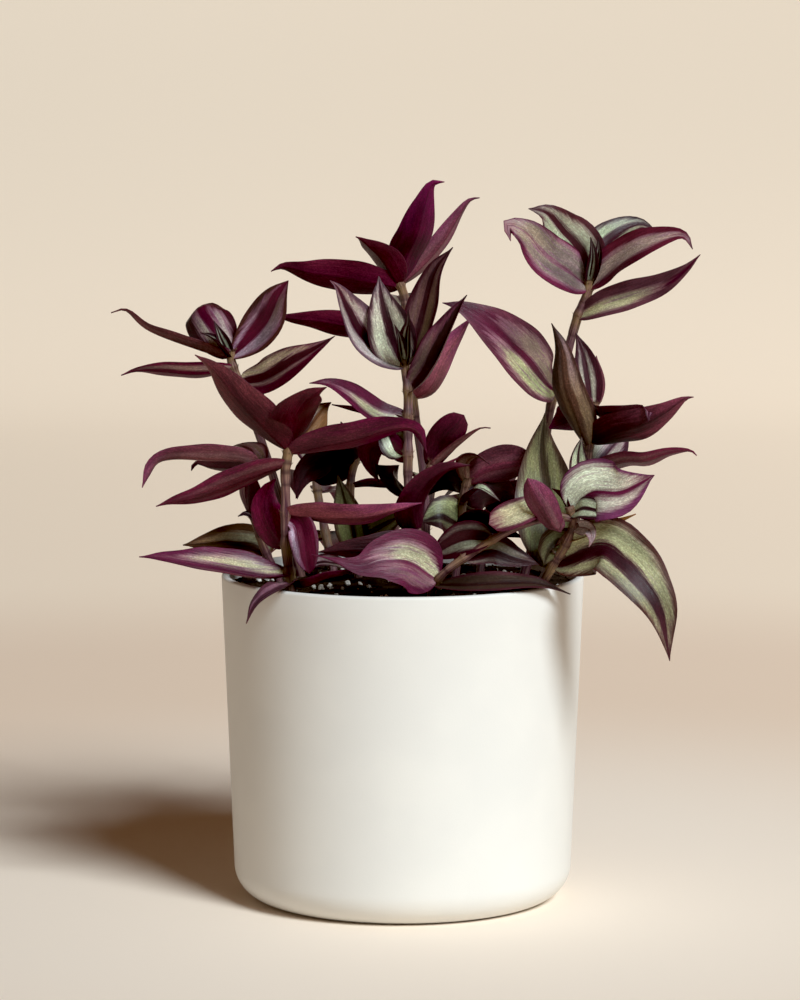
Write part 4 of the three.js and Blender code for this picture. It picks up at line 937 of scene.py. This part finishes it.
# for each stem its shoots: radius, the points of the path, and the leaves
leafyStems = {}
leafyStems["leafy_stem_back_left"] = [(1.8, [(-39, 14, 120), (-44, 13, 139), (-50, 13, 161), (-56, 14, 179),
    (-62, 15, 195), (-66, 16, 205), (-67, 16, 211)], [
    leaf("dusky", 1, 9, 30, (0.1, 0.35, 1), (-79, 15, 213), (-98, 14, 220), (-107, 14, 227), (-113, 14, 226)),
    leaf("domed", 1, 21, -32, (-0.15, -1, 0.6), (-72, 18, 217), (-77, 25, 224), (-79, 34, 226),
         (-81, 44, 222)),
    leaf("budding", 1, 5, 35, (0.3, -0.5, 1), (-72, 10, 216), (-78, 5, 219)),
    leaf("budding", 1, 5, 35, (0.4, -1, 0.3), (-70, 12, 216), (-73, 11, 223)),
    leaf("blushRib", 1, 18, 18, (-0.35, -1, 0.45), (-60, 13, 215), (-53, 9, 223), (-48, 6, 233),
         (-44, 5, 239), swell=0.8, taper=1.1),
    leaf("streakedMagenta", 0.93, 15, 12, (0, 0.55, 1), (-79, 14, 203), (-94, 12, 204), (-103, 11, 204),
         (-109, 10, 202)),
    leaf("halfTaupe", 0.87, 16, 14, (0.15, -1, 0.75), (-54, 10, 201), (-42, 4, 208), (-32, 1, 214),
         (-26, 0, 218), swell=0.45, taper=1.6),
    spreadLeaf("silver", 0.8, 15, (-63, 30, 194), (-60, 48, 189), (-58, 62, 183)),
])]
leafyStems["leafy_stem_left"] = [(1.6, [(-47, -4, 121), (-53, -8, 136), (-57, -12, 149), (-61, -14, 159),
    (-59, -16, 166), (-53, -18, 171)], [
    leaf("mauve", 1, 17, 20, (0, 0.5, 1), (-62, -19, 173), (-75, -21, 174), (-88, -22, 174), (-95, -23, 171),
         (-99, -24, 162)),
    leaf("umber", 1, 12, 15, (0, -0.2, 1), (-58, -10, 175), (-63, -2, 176), (-70, 5, 173)),
    leaf("deepWine", 0.93, 14, 10, (0, 0.5, 1), (-64, -13, 169), (-73, -11, 169), (-79, -10, 170),
         (-81, -10, 167)),
    leaf("deepWine", 0.55, 9, 30, (0.5, 1, 0.1), (-58, -15, 156), (-58, -17, 163), (-60, -17, 169)),
    leaf("silver", 0.4, 6, 25, (0, -0.6, 1), (-57, -14, 149), (-60, -15, 151), (-63, -15, 150)),
    leaf("rusty", 0.25, 17, 10, (0, -0.75, 1), (-57, -2, 138), (-67, 0, 139), (-76, 0, 138), (-85, 0, 137)),
])]
leafyStems["leafy_stem_front_left"] = [(1.9, [(-42, -34, 124), (-43, -36, 133), (-44, -38, 142),
    (-44, -39, 152), (-44, -40, 162), (-44, -41, 171), (-43, -41, 177), (-42, -41, 183)], [
    leaf("wineBrown", 0.92, 18, 22, (0.5, 1, 0.4), (-51, -47, 188), (-61, -53, 199), (-70, -55, 210),
         (-77, -55, 215)),
    leaf("wineRed", 0.98, 20, 18, (-0.4, 0.9, 0.4), (-41, -47, 190), (-38, -56, 196), (-34, -64, 201),
         (-28, -68, 204)),
    leaf("dried", 0.96, 15, 15, (-0.3, -1, 0.3), (-37, -36, 185), (-33, -32, 190), (-30, -30, 193),
         (-27, -29, 195)),
    leaf("brownMagenta", 0.9, 16, 20, (0, 0.8, 0.9), (-31, -46, 181), (-18, -50, 184), (-4, -53, 188),
         (5, -52, 187), (9, -50, 178)),
    leaf("dustyMagenta", 0.83, 15, 12, (0.1, 0.75, 0.8), (-55, -46, 170), (-66, -50, 166), (-77, -52, 162),
         (-86, -52, 160), (-92, -51, 158)),
    leaf("rose", 0.52, 15, 14, (0, 0.75, 0.9), (-31, -44, 154), (-16, -48, 154), (-3, -49, 157),
         (7, -48, 159)),
    leaf("brightMagenta", 0.3, 14, 10, (0.3, 1, 0.2), (-49, -34, 148), (-52, -31, 155), (-51, -30, 162),
         (-48, -29, 166)),
    leaf("glossed", 0.5, 11, 12, (-0.3, -1, 0.1), (-39, -42, 151), (-37, -45, 145), (-36, -46, 138),
         (-35, -45, 132), taper=0.7),
    leaf("dusky", 0.06, 10, 25, (-0.3, -0.5, 1), (-44, -50, 129), (-50, -60, 127), (-55, -65, 123),
         (-58, -66, 116)),
    leaf("wineRed", 0.05, 6, 30, (0, 0.5, 1), (-37, -38, 127), (-29, -38, 130), (-22, -36, 131),
         (-13, -33, 133)),
    leaf("foldedCream", 0.12, 20, 30, (0, -0.45, 1), (-52, -41, 132), (-67, -44, 135), (-82, -45, 137),
         (-92, -44, 138), (-99, -43, 138)),
])]
leafyStems["leafy_stem_tall_centre"] = [(1.8, [(10, 14, 122), (9, 16, 141), (8, 18, 164), (4, 20, 192),
    (2, 21, 215), (1, 22, 230), (-2, 22, 239)], [
    leaf("magenta", 1, 15, 20, (-0.3, 1, 0.2), (1, 17, 248), (5, 10, 257), (8, 4, 268), (11, 1, 276),
         (16, 0, 277)),
    leaf("wineRed", 0.99, 15, 25, (0.5, 0.9, 0.5), (-7, 16, 247), (-12, 9, 252), (-16, 4, 255),
         (-18, 2, 256)),
    leaf("mauveTip", 1, 10, 20, (-0.6, 0.8, 0.5), (7, 24, 244), (15, 26, 253), (22, 27, 264), (26, 27, 269),
         (30, 27, 270)),
    leaf("wineLight", 0.97, 16, 10, (0, 0.8, 0.6), (-13, 20, 238), (-24, 18, 240), (-37, 16, 242),
         (-46, 15, 244), (-51, 14, 242)),
    leaf("wineLight", 0.86, 13, 10, (0, 0.8, 0.6), (-11, 19, 220), (-22, 18, 221), (-34, 17, 223),
         (-45, 16, 224), (-51, 16, 226)),
    leaf("rose", 0.6, 12, 20, (-0.6, 1, 0.3), (10, 18, 197), (16, 19, 209), (23, 20, 219), (27, 20, 224)),
    spreadLeaf("silver", 0.9, 15, (0, 45, 229), (-2, 65, 230), (-3, 80, 225)),
    spreadLeaf("silver", 0.68, 13, (8, 40, 201), (12, 58, 203), (15, 72, 206)),
])]
leafyStems["leafy_stem_centre_front"] = [(1.8, [(7, -30, 123), (6, -31, 135), (5, -32, 147), (3, -32, 158),
    (2, -31, 166), (2, -30, 175), (2, -27, 189), (2, -25, 198), (1, -23, 207), (0, -23, 211)], [
    leaf("pearl", 0.98, 20, 35, (0.6, -0.9, 0.2), (-6, -28, 214), (-14, -36, 221), (-20, -42, 231),
         (-24, -46, 239), (-27, -48, 242)),
    leaf("pale", 1, 18, 15, (0, -1, 0.25), (-3, -30, 217), (-6, -36, 227), (-8, -38, 235), (-9, -36, 243)),
    leaf("budding", 1, 5, 40, (0.3, -1, 0.2), (-1, -36, 219), (-3, -40, 225)),
    leaf("budding", 1, 6, 40, (-0.2, -1, 0.2), (1, -36, 220), (2, -41, 226), (2, -43, 231)),
    leaf("olive", 1, 15, 20, (-0.6, -0.8, 0.2), (5, -24, 220), (8, -22, 231), (12, -20, 244), (19, -19, 253)),
    leaf("darkOlive", 0.86, 16, 42, (-0.8, -0.6, 0.2), (8, -30, 207), (14, -34, 219), (20, -36, 230),
         (24, -36, 236)),
    leaf("creamHeart", 0.75, 11, 18, (0.2, -0.8, 0.7), (-9, -30, 191), (-20, -34, 199), (-28, -37, 203),
         (-35, -38, 203)),
    leaf("deepWine", 0.76, 8, 20, (0, 0.6, 1), (-3, -18, 191), (-8, -14, 193), (-13, -12, 195)),
    leaf("deepWine", 0.74, 10, 20, (0, 0.4, 1), (-7, -20, 189), (-17, -17, 191), (-27, -16, 193)),
    leaf("mint", 0.6, 12, 15, (0, -1, 0.3), (-2, -25, 178), (-6, -23, 184), (-10, -22, 188)),
    leaf("magenta", 0.58, 12, 15, (0, 1, 0.4), (-6, -20, 178), (-12, -16, 176), (-12, -14, 169),
         (-9, -14, 163)),
    leaf("black", 0.42, 16, 15, (0, 1, 0.5), (-1, -20, 163), (-6, -16, 166), (-11, -14, 170)),
    leaf("deepWine", 0.25, 13, 18, (-0.5, 0.8, 0.6), (3, -40, 156), (8, -45, 166), (16, -47, 172),
         (25, -46, 173)),
    leaf("black", 0.2, 12, 15, (0, 1, 0.3), (-1, -40, 142), (-12, -44, 141), (-22, -45, 141),
         (-32, -45, 140)),
]), (1.3, [(3, -31, 163), (7, -31, 166), (10, -32, 170), (11, -32, 173)], [
    leaf("deepWine", 1, 12, 15, (0.3, 0.9, 0.4), (13, -33, 178), (17, -36, 184), (23, -38, 191), taper=0.5),
    leaf("dusky", 1, 5, 30, (0.2, 0.1, 1), (16, -34, 176), (23, -36, 182), (29, -37, 186), (33, -37, 186)),
    leaf("wineLight", 0.8, 6, 20, (0, 0.5, 1), (16, -30, 171), (21, -28, 174)),
])]
leafyStems["leafy_stem_centre_right"] = [(1.6, [(20, -8, 123), (22, -10, 140), (23, -12, 156),
    (25, -14, 165)], [
    leaf("roseBrown", 1, 17, 12, (-0.1, 0.9, 0.5), (31, -14, 168), (40, -12, 170), (50, -11, 171), swell=0.7,
         taper=0.6),
    leaf("curled", 1, 7, 20, (0, 0.4, 1), (24, -16, 171), (28, -20, 174), (33, -24, 171)),
    leaf("mint", 0.75, 5, 30, (0, -0.5, 1), (26, -18, 160), (30, -22, 162), (37, -26, 157)),
    leaf("black", 0.92, 13, 12, (0, 1, 0.3), (19, -6, 163), (14, 0, 161), (10, 4, 156)),
    leaf("sideGreen", 0.55, 17, 14, (0, -1, 0.5), (19, -15, 149), (14, -18, 151), (7, -18, 148)),
    leaf("black", 0.45, 13, 12, (0, 0.8, 0.6), (29, -16, 148), (37, -22, 146), (46, -26, 143)),
    leaf("black", 0.8, 17, 12, (0, 1, 0.2), (31, -8, 160), (38, -4, 159), (44, -2, 156)),
])]
leafyStems["leafy_stem_right_front"] = [(1.5, [(11, -42, 125), (16, -48, 133), (27, -50, 141), (36, -52, 147),
    (47, -53, 152), (57, -51, 154), (64, -49, 153)], [
    leaf("creamPatch", 0.1, 24, 14, (0, -1, 0.4), (3, -54, 138), (-7, -58, 139), (-16, -60, 137),
         (-25, -60, 139), (-34, -59, 141), taper=3),
    leaf("oliveShine", 0.5, 14, 12, (0, -1, 0.6), (23, -46, 145), (14, -42, 140), (9, -40, 136)),
    leaf("oliveShine", 0.3, 12, 12, (0, -1, 0.6), (33, -44, 141), (42, -43, 138), (52, -42, 135)),
    leaf("onlyCream", 0.88, 11, 15, (0, -1, 0.5), (50, -55, 158), (42, -57, 156), (32, -57, 152), swell=0.7,
         taper=0.4),
    leaf("rimBrown", 0.05, 11, 15, (0, -0.6, 1), (23, -52, 129), (38, -54, 130), (51, -50, 129),
         (63, -44, 124)),
    leaf("mauveTip", 0.93, 12, 25, (0.3, 1, 0.3), (57, -57, 151), (52, -61, 159), (46, -64, 170), swell=1.2,
         taper=0.8),
]), (1.7, [(52, -34, 124), (56, -42, 134), (61, -47, 143), (64, -49, 152), (62, -50, 158)], [
    leaf("bright", 0.95, 24, 12, (0, -1, 0.3), (70, -56, 164), (81, -61, 165), (93, -63, 171)),
    leaf("mint", 0.93, 9, 12, (0, -1, 0.6), (67, -56, 158), (73, -60, 157), (78, -62, 154)),
    spreadLeaf("straw", 0.65, 7, (74, -50, 150), (80, -50, 152), (87, -50, 155)),
    leaf("bract", 0.8, 5, 15, (0, -1, 0.1), (69, -56, 150), (70, -60, 147), (69, -61, 144)),
    leaf("banded", 0.35, 23, 14, (0.2, -1, 0.35), (73, -56, 144), (82, -62, 140), (90, -66, 131),
         (96, -67, 120), (99, -66, 102)),
    leaf("wineRed", 0.97, 7, 20, (0, 0.6, 1), (60, -46, 161), (56, -44, 164)),
    leaf("green", 0.3, 25, 14, (0, -1, 0.1), (55, -31, 149), (54, -23, 162), (53, -20, 177), (54, -19, 190)),
    leaf("green", 0.6, 12, 12, (0, -1, 0.2), (59, -44, 144), (55, -45, 140), (53, -44, 135)),
])]
leafyStems["leafy_stem_right"] = [(1.8, [(53, 0, 121), (61, -6, 136), (67, -12, 152), (70, -14, 168),
    (71, -15, 177), (72, -15, 189), (73, -15, 194)], [
    leaf("barky", 0.78, 15, 25, (0.5, 0.9, 0), (67, -22, 188), (62, -28, 201), (60, -30, 215),
         (56, -30, 225)),
    leaf("narrowPale", 1, 10, 15, (-0.2, -1, 0.2), (71, -14, 202), (69, -12, 212), (66, -11, 220)),
    leaf("roseBrown", 1, 6, 20, (-0.5, 1, 0), (75, -10, 200), (74, -8, 211)),
    leaf("deepWine", 1, 16, 20, (0.1, 0.5, 0.85), (79, -24, 189), (86, -32, 191), (92, -37, 193),
         (92, -41, 189)),
    leaf("shadedWine", 0.8, 15, 15, (0, 0.9, 0.4), (80, -26, 184), (89, -34, 187), (98, -38, 192),
         (105, -40, 197), (109, -40, 198)),
    leaf("silver", 0.62, 17, 12, (-0.2, -1, 0.3), (77, -8, 173), (83, -3, 179), (88, 0, 184)),
    leaf("dustyMagenta", 0.64, 11, 12, (0, 0.7, 0.9), (83, -22, 172), (92, -27, 173), (100, -30, 176),
         (108, -31, 177), (111, -31, 175)),
    leaf("mint", 0.58, 8, 15, (0.3, -1, 0.1), (67, -18, 170), (67, -20, 176), (68, -21, 181)),
    leaf("plum", 0.86, 17, 12, (0, 1, 0.5), (66, -6, 186), (62, -1, 185), (56, 1, 182)),
])]
leafyStems["leafy_stem_right_tall"] = [(1.9, [(47, 16, 121), (51, 14, 137), (54, 12, 161), (56, 10, 181),
    (58, 9, 193), (62, 8, 204), (65, 8, 216), (68, 8, 226), (71, 8, 233), (72, 8, 239)], [
    leaf("smoky", 1, 19, 12, (0.3, -1, 0.4), (64, 0, 243), (55, -7, 249), (47, -11, 258), (40, -12, 261),
         (41, -13, 255)),
    leaf("greenSilver", 1, 21, 14, (0, -1, 0.45), (67, 2, 251), (61, 0, 258), (55, -3, 265), (48, -5, 267)),
    leaf("budding", 1, 5, 40, (0.2, -1, 0.2), (73, 1, 248), (72, 0, 256)),
    leaf("budding", 1, 5, 40, (-0.2, -1, 0.2), (75, 2, 249), (75, 1, 256)),
    leaf("slimSilver", 1, 15, 14, (0, -1, 0.6), (77, 14, 251), (84, 20, 257), (92, 24, 260), (99, 26, 257)),
    leaf("pinkSilver", 0.99, 15, 20, (0.1, -0.8, 0.6), (80, 0, 246), (90, -8, 253), (101, -12, 257),
         (107, -14, 257), (110, -15, 252)),
    leaf("halfCream", 0.88, 12, 15, (0, -0.9, 0.5), (76, 0, 230), (87, -6, 234), (98, -10, 238),
         (107, -13, 244), (113, -14, 250)),
    leaf("blushed", 0.63, 22, 10, (0.2, -1, 0.45), (54, -2, 202), (45, -12, 213), (34, -18, 223),
         (23, -20, 230), (15, -20, 232)),
    spreadLeaf("silver", 0.97, 15, (65, 30, 245), (60, 48, 247), (57, 62, 243)),
    spreadLeaf("silver", 0.7, 13, (64, 28, 200), (67, 45, 203), (69, 60, 199)),
])]
leafyStems["leafy_stem_centre_left"] = [(1.6, [(-17, 2, 121), (-18, 2, 135), (-20, 4, 150), (-20, 6, 162),
    (-18, 8, 170)], [
    leaf("green", 0.25, 12, 15, (0, -1, 0.1), (-20, -4, 145), (-23, -6, 157), (-25, -6, 165)),
    leaf("black", 1, 14, 12, (0, 1, 0.4), (-24, 4, 172), (-31, -2, 170), (-38, -6, 165), (-41, -8, 156)),
    leaf("olive", 1, 9, 15, (0, 1, 0.2), (-21, 9, 177), (-24, 10, 184)),
    leaf("green", 0.35, 12, 12, (0, -1, 0.3), (-12, -4, 143), (-4, -9, 148), (2, -12, 151)),
    leaf("black", 0.15, 12, 12, (0, -0.5, 1), (-25, -6, 131), (-32, -12, 132), (-38, -16, 129)),
    leaf("deepWine", 0.97, 17, 12, (0, 0.9, 0.4), (-25, 7, 167), (-33, 4, 166), (-41, 6, 166)),
    leaf("magenta", 0.78, 9, 15, (0, 0.5, 1), (-13, 8, 160), (-6, 10, 159), (1, 12, 158)),
])]
leafyStems["leafy_stem_back_right_low"] = [(1.7, [(30, 22, 120), (33, 28, 139), (36, 32, 157),
    (38, 34, 165)], [
    leaf("silver", 1, 12, 15, (0, -0.3, 1), (43, 42, 165), (51, 50, 161)),
    leaf("roseBrown", 0.95, 13, 15, (0, -0.3, 1), (27, 38, 159), (20, 44, 154), (14, 48, 148)),
    leaf("lilac", 1, 15, 15, (0, -0.5, 1), (39, 52, 163), (41, 70, 157), (43, 84, 146)),
    leaf("green", 0.5, 13, 12, (0, -1, 0.5), (27, 6, 150), (18, -4, 153), (9, -12, 152)),
    leaf("deepWine", 0.6, 12, 12, (0, 1, 0.3), (38, 20, 152), (43, 14, 158), (46, 10, 162)),
    leaf("mint", 0.4, 8, 15, (0, -1, 0.2), (27, 8, 142), (23, 2, 147), (21, 0, 151)),
])]
leafyStems["leafy_stem_back_left_low"] = [(1.7, [(-27, 34, 120), (-31, 42, 138), (-34, 48, 153),
    (-35, 52, 164)], [
    spreadLeaf("silver", 1, 15, (-36, 64, 168), (-34, 78, 166), (-32, 92, 160)),
    spreadLeaf("mint", 0.9, 14, (-39, 62, 160), (-42, 76, 155), (-43, 88, 145)),
    spreadLeaf("lilac", 0.75, 13, (-30, 62, 152), (-28, 76, 152), (-28, 88, 145)),
    spreadLeaf("silver", 0.4, 15, (-29, 60, 134), (-29, 78, 129), (-28, 92, 118)),
    spreadLeaf("cream", 0.35, 14, (-39, 50, 133), (-46, 58, 132), (-53, 64, 126)),
])]
leafyStems["leafy_stem_back_centre"] = [(1.7, [(5, 44, 119), (9, 54, 136), (11, 60, 148), (12, 64, 155)], [
    spreadLeaf("mint", 1, 14, (10, 76, 157), (9, 94, 152)),
    spreadLeaf("silver", 0.95, 14, (18, 74, 155), (24, 86, 152), (28, 94, 145)),
    spreadLeaf("lilac", 0.5, 14, (4, 66, 139), (-2, 80, 135), (-6, 90, 127)),
    spreadLeaf("silver", 0.3, 14, (9, 72, 128), (11, 90, 123), (12, 100, 113)),
])]
leafyStems["leafy_stem_back_right"] = [(1.7, [(56, 20, 122), (62, 30, 137), (67, 38, 149), (70, 44, 156)], [
    spreadLeaf("silver", 1, 15, (75, 58, 159), (79, 72, 159), (82, 86, 153)),
    spreadLeaf("lilac", 0.95, 13, (79, 50, 157), (87, 60, 156), (92, 66, 154)),
    spreadLeaf("mint", 0.85, 14, (66, 56, 154), (62, 70, 154), (60, 82, 148)),
    spreadLeaf("silver", 0.45, 14, (69, 48, 139), (75, 62, 135), (80, 74, 127)),
    spreadLeaf("cream", 0.3, 13, (61, 46, 131), (62, 64, 126), (62, 78, 115)),
])]


def turnOutward(piece):
    # a closed shell whose faces look inward is turned round
    mesh = piece.data
    mesh.calc_loop_triangles()
    corners, faces = np.empty(len(mesh.vertices) * 3), np.empty(len(mesh.loop_triangles) * 3, int)
    mesh.vertices.foreach_get("co", corners)
    mesh.loop_triangles.foreach_get("vertices", faces)
    a, b, c = corners.reshape(-1, 3)[faces].reshape(-1, 3, 3).transpose(1, 0, 2)
    if np.einsum("ij,ij->i", a, np.cross(b, c)).sum() < 0:
        mesh.flip_normals()
    mesh.shade_smooth()


def makeLeafyStem(name, shoots, firstNumber):
    blades, tubes = Gathered(), Gathered()
    draw = np.random.default_rng(stemShape["seed"] + firstNumber)
    number = firstNumber
    for radius, points, leaves in shoots:
        rooted = points[0][2] < pot["height"]
        if rooted:
            x, y, z = points[0]
            points = [(x, y, z - stemShape["rootDepth"])] + points
        path = pathThrough(points)
        length = path[1][-1] / mm
        above = stemShape["rootDepth"] / length if rooted else 0
        nodeShares = [above + (1 - above) * each["at"] for each in leaves]
        addStem(tubes, path, radius, nodeShares, number, draw)
        for share, each in zip(nodeShares, leaves):
            base = walk(path, [min(share, 1 - stemShape["rootSunk"] / length)])[0] / mm
            addBlade(blades, tuple(base), each, number)
            number += 1
    short = name.replace("leafy_stem_", "")
    for piece in (grow("leaves_" + short, blades.carrier("rails"), bladeTree),
                  grow("stem_" + short, tubes.carrier("rails"), stemTree)):
        turnOutward(piece)
        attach(piece, "root")
        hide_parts(name)
    return number


bladeTree = makeBladeTree(makeLeafMaterial())
stemTree = makeStemTree(makeStemMaterial())
leafCount = 0
for stemName, shoots in leafyStems.items():
    leafCount = makeLeafyStem(stemName, shoots, leafCount)
print("plant ready,", leafCount, "leaves")

# What each other piece stands for
for piece, replaced, finish in ((potBody, "pot", "pot"), (soilMound, "soil", "soil")):
    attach(piece, "root")
    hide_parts(replaced)
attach(soilPerlite, "root")

# The studio around it
stage = {
    "rings": (0, 150, 300, 600, 1000, 1600), "floorRadius": 1900, "bend": 1500, "bendSteps": 12,
    "slopeTop": 900, "sides": 96,
    # near, mid, far and slope colours paint the floor's light falloff; the darker mid colour is painted shade
    "nearColour": "fbecdb", "midShadeColour": "efd7c0", "farColour": "fbe7d0", "slopeColour": "dccbb7",
    "nearEdge": 0.15, "midEdge": 0.5, "farStart": 0.6, "farEdge": 0.95, "slopeStart": 1.9, "slopeEdge": 2.9,
    "lightSideGain": 0.6, "sideSpread": 1.5,
}
light = {
    "keyPlace": (2.23, -3.12, 3.27), "keyAim": (0, 0, 0.15), "keySpread": 21.0, "keyPower": 3.9,
    "keyColour": (0.853, 0.945, 1.0), "surround": (0.066, 0.022, 0.0), "surroundStrength": 1.0,
}
camera = {
    "place": (-0.00103, -1.5, 0.3257), "tiltDown": 0.1136, "lens": 140.8, "sensor": 36.0,
    "blackPoint": (0.005, 0.0055, 0.006),
}


def makeStage():
    # a floor that bends up into a slope all round; its colour rings paint the light's falloff, with a painted
    # shade band at middle distance, and painted light makes it a little paler towards the light
    bend = arc(stage["floorRadius"], stage["bend"], stage["bend"], -90, -45, stage["bendSteps"])
    rise = stage["slopeTop"] - bend[-1][1]
    profile = [(r, 0) for r in stage["rings"]] + bend + [(bend[-1][0] + rise, bend[-1][1] + rise)]
    mesh = turned("studioFloor", profile, stage["sides"])
    mesh.flip_normals()
    material, tree, shader = newMaterial("studioFloorPaint", Roughness=0.8, Specular_IOR_Level=0.15)
    x, y, _ = splitXyz(wire(tree, "ShaderNodeTexCoord", "Object"))
    distance = calc("SQRT", x * x + y * y)
    colour = srgb(stage["nearColour"])
    # the colour steps with distance paint the light's falloff; the mid step is a painted shade band
    for start, end, nextColour in (("nearEdge", "midEdge", "midShadeColour"), ("farStart", "farEdge", "farColour"),
                                   ("slopeStart", "slopeEdge", "slopeColour")):
        colour = mixColour(rampUp(distance, stage[start], stage[end]), colour, srgb(stage[nextColour]))
    # painted light: the floor's colour grows paler towards the key light's side (+x)
    sideways = x / (distance + stage["sideSpread"])
    feed(shader.inputs["Base Color"], stretched(colour, sideways * stage["lightSideGain"] + 1.0))
    addPiece("studioFloor", mesh, material)


def makeLights():
    data = bpy.data.lights.new("keyLight", "SUN")
    data.angle = math.radians(light["keySpread"])
    data.energy = light["keyPower"]
    data.color = light["keyColour"]
    lamp = bpy.data.objects.new("keyLight", data)
    lamp.location = light["keyPlace"]
    aim = Vector(light["keyAim"]) - lamp.location
    lamp.rotation_euler = aim.to_track_quat("-Z", "Y").to_euler()
    bpy.context.scene.collection.objects.link(lamp)
    world = bpy.data.worlds.new("studioSurround")
    world.use_nodes = True
    feedAll(world.node_tree.nodes["Background"], Color=light["surround"] + (1,),
            Strength=light["surroundStrength"])
    bpy.context.scene.world = world


def makeCamera():
    data = bpy.data.cameras.new("photoCamera")
    data.sensor_fit = "VERTICAL"
    data.sensor_height = camera["sensor"]
    data.lens = camera["lens"]
    made = bpy.data.objects.new("photoCamera", data)
    made.location = camera["place"]
    made.rotation_euler = (math.pi / 2 - camera["tiltDown"], 0, 0)
    bpy.context.scene.collection.objects.link(made)
    bpy.context.scene.camera = made


def makeTones():
    # plain tones with the deep blacks of the photograph
    tones = bpy.context.scene.view_settings
    tones.view_transform = "Standard"
    tones.use_curve_mapping = True
    tones.curve_mapping.black_level = camera["blackPoint"]
    tones.curve_mapping.update()


makeStage()
makeLights()
makeCamera()
makeTones()
print("stage, light and camera ready")
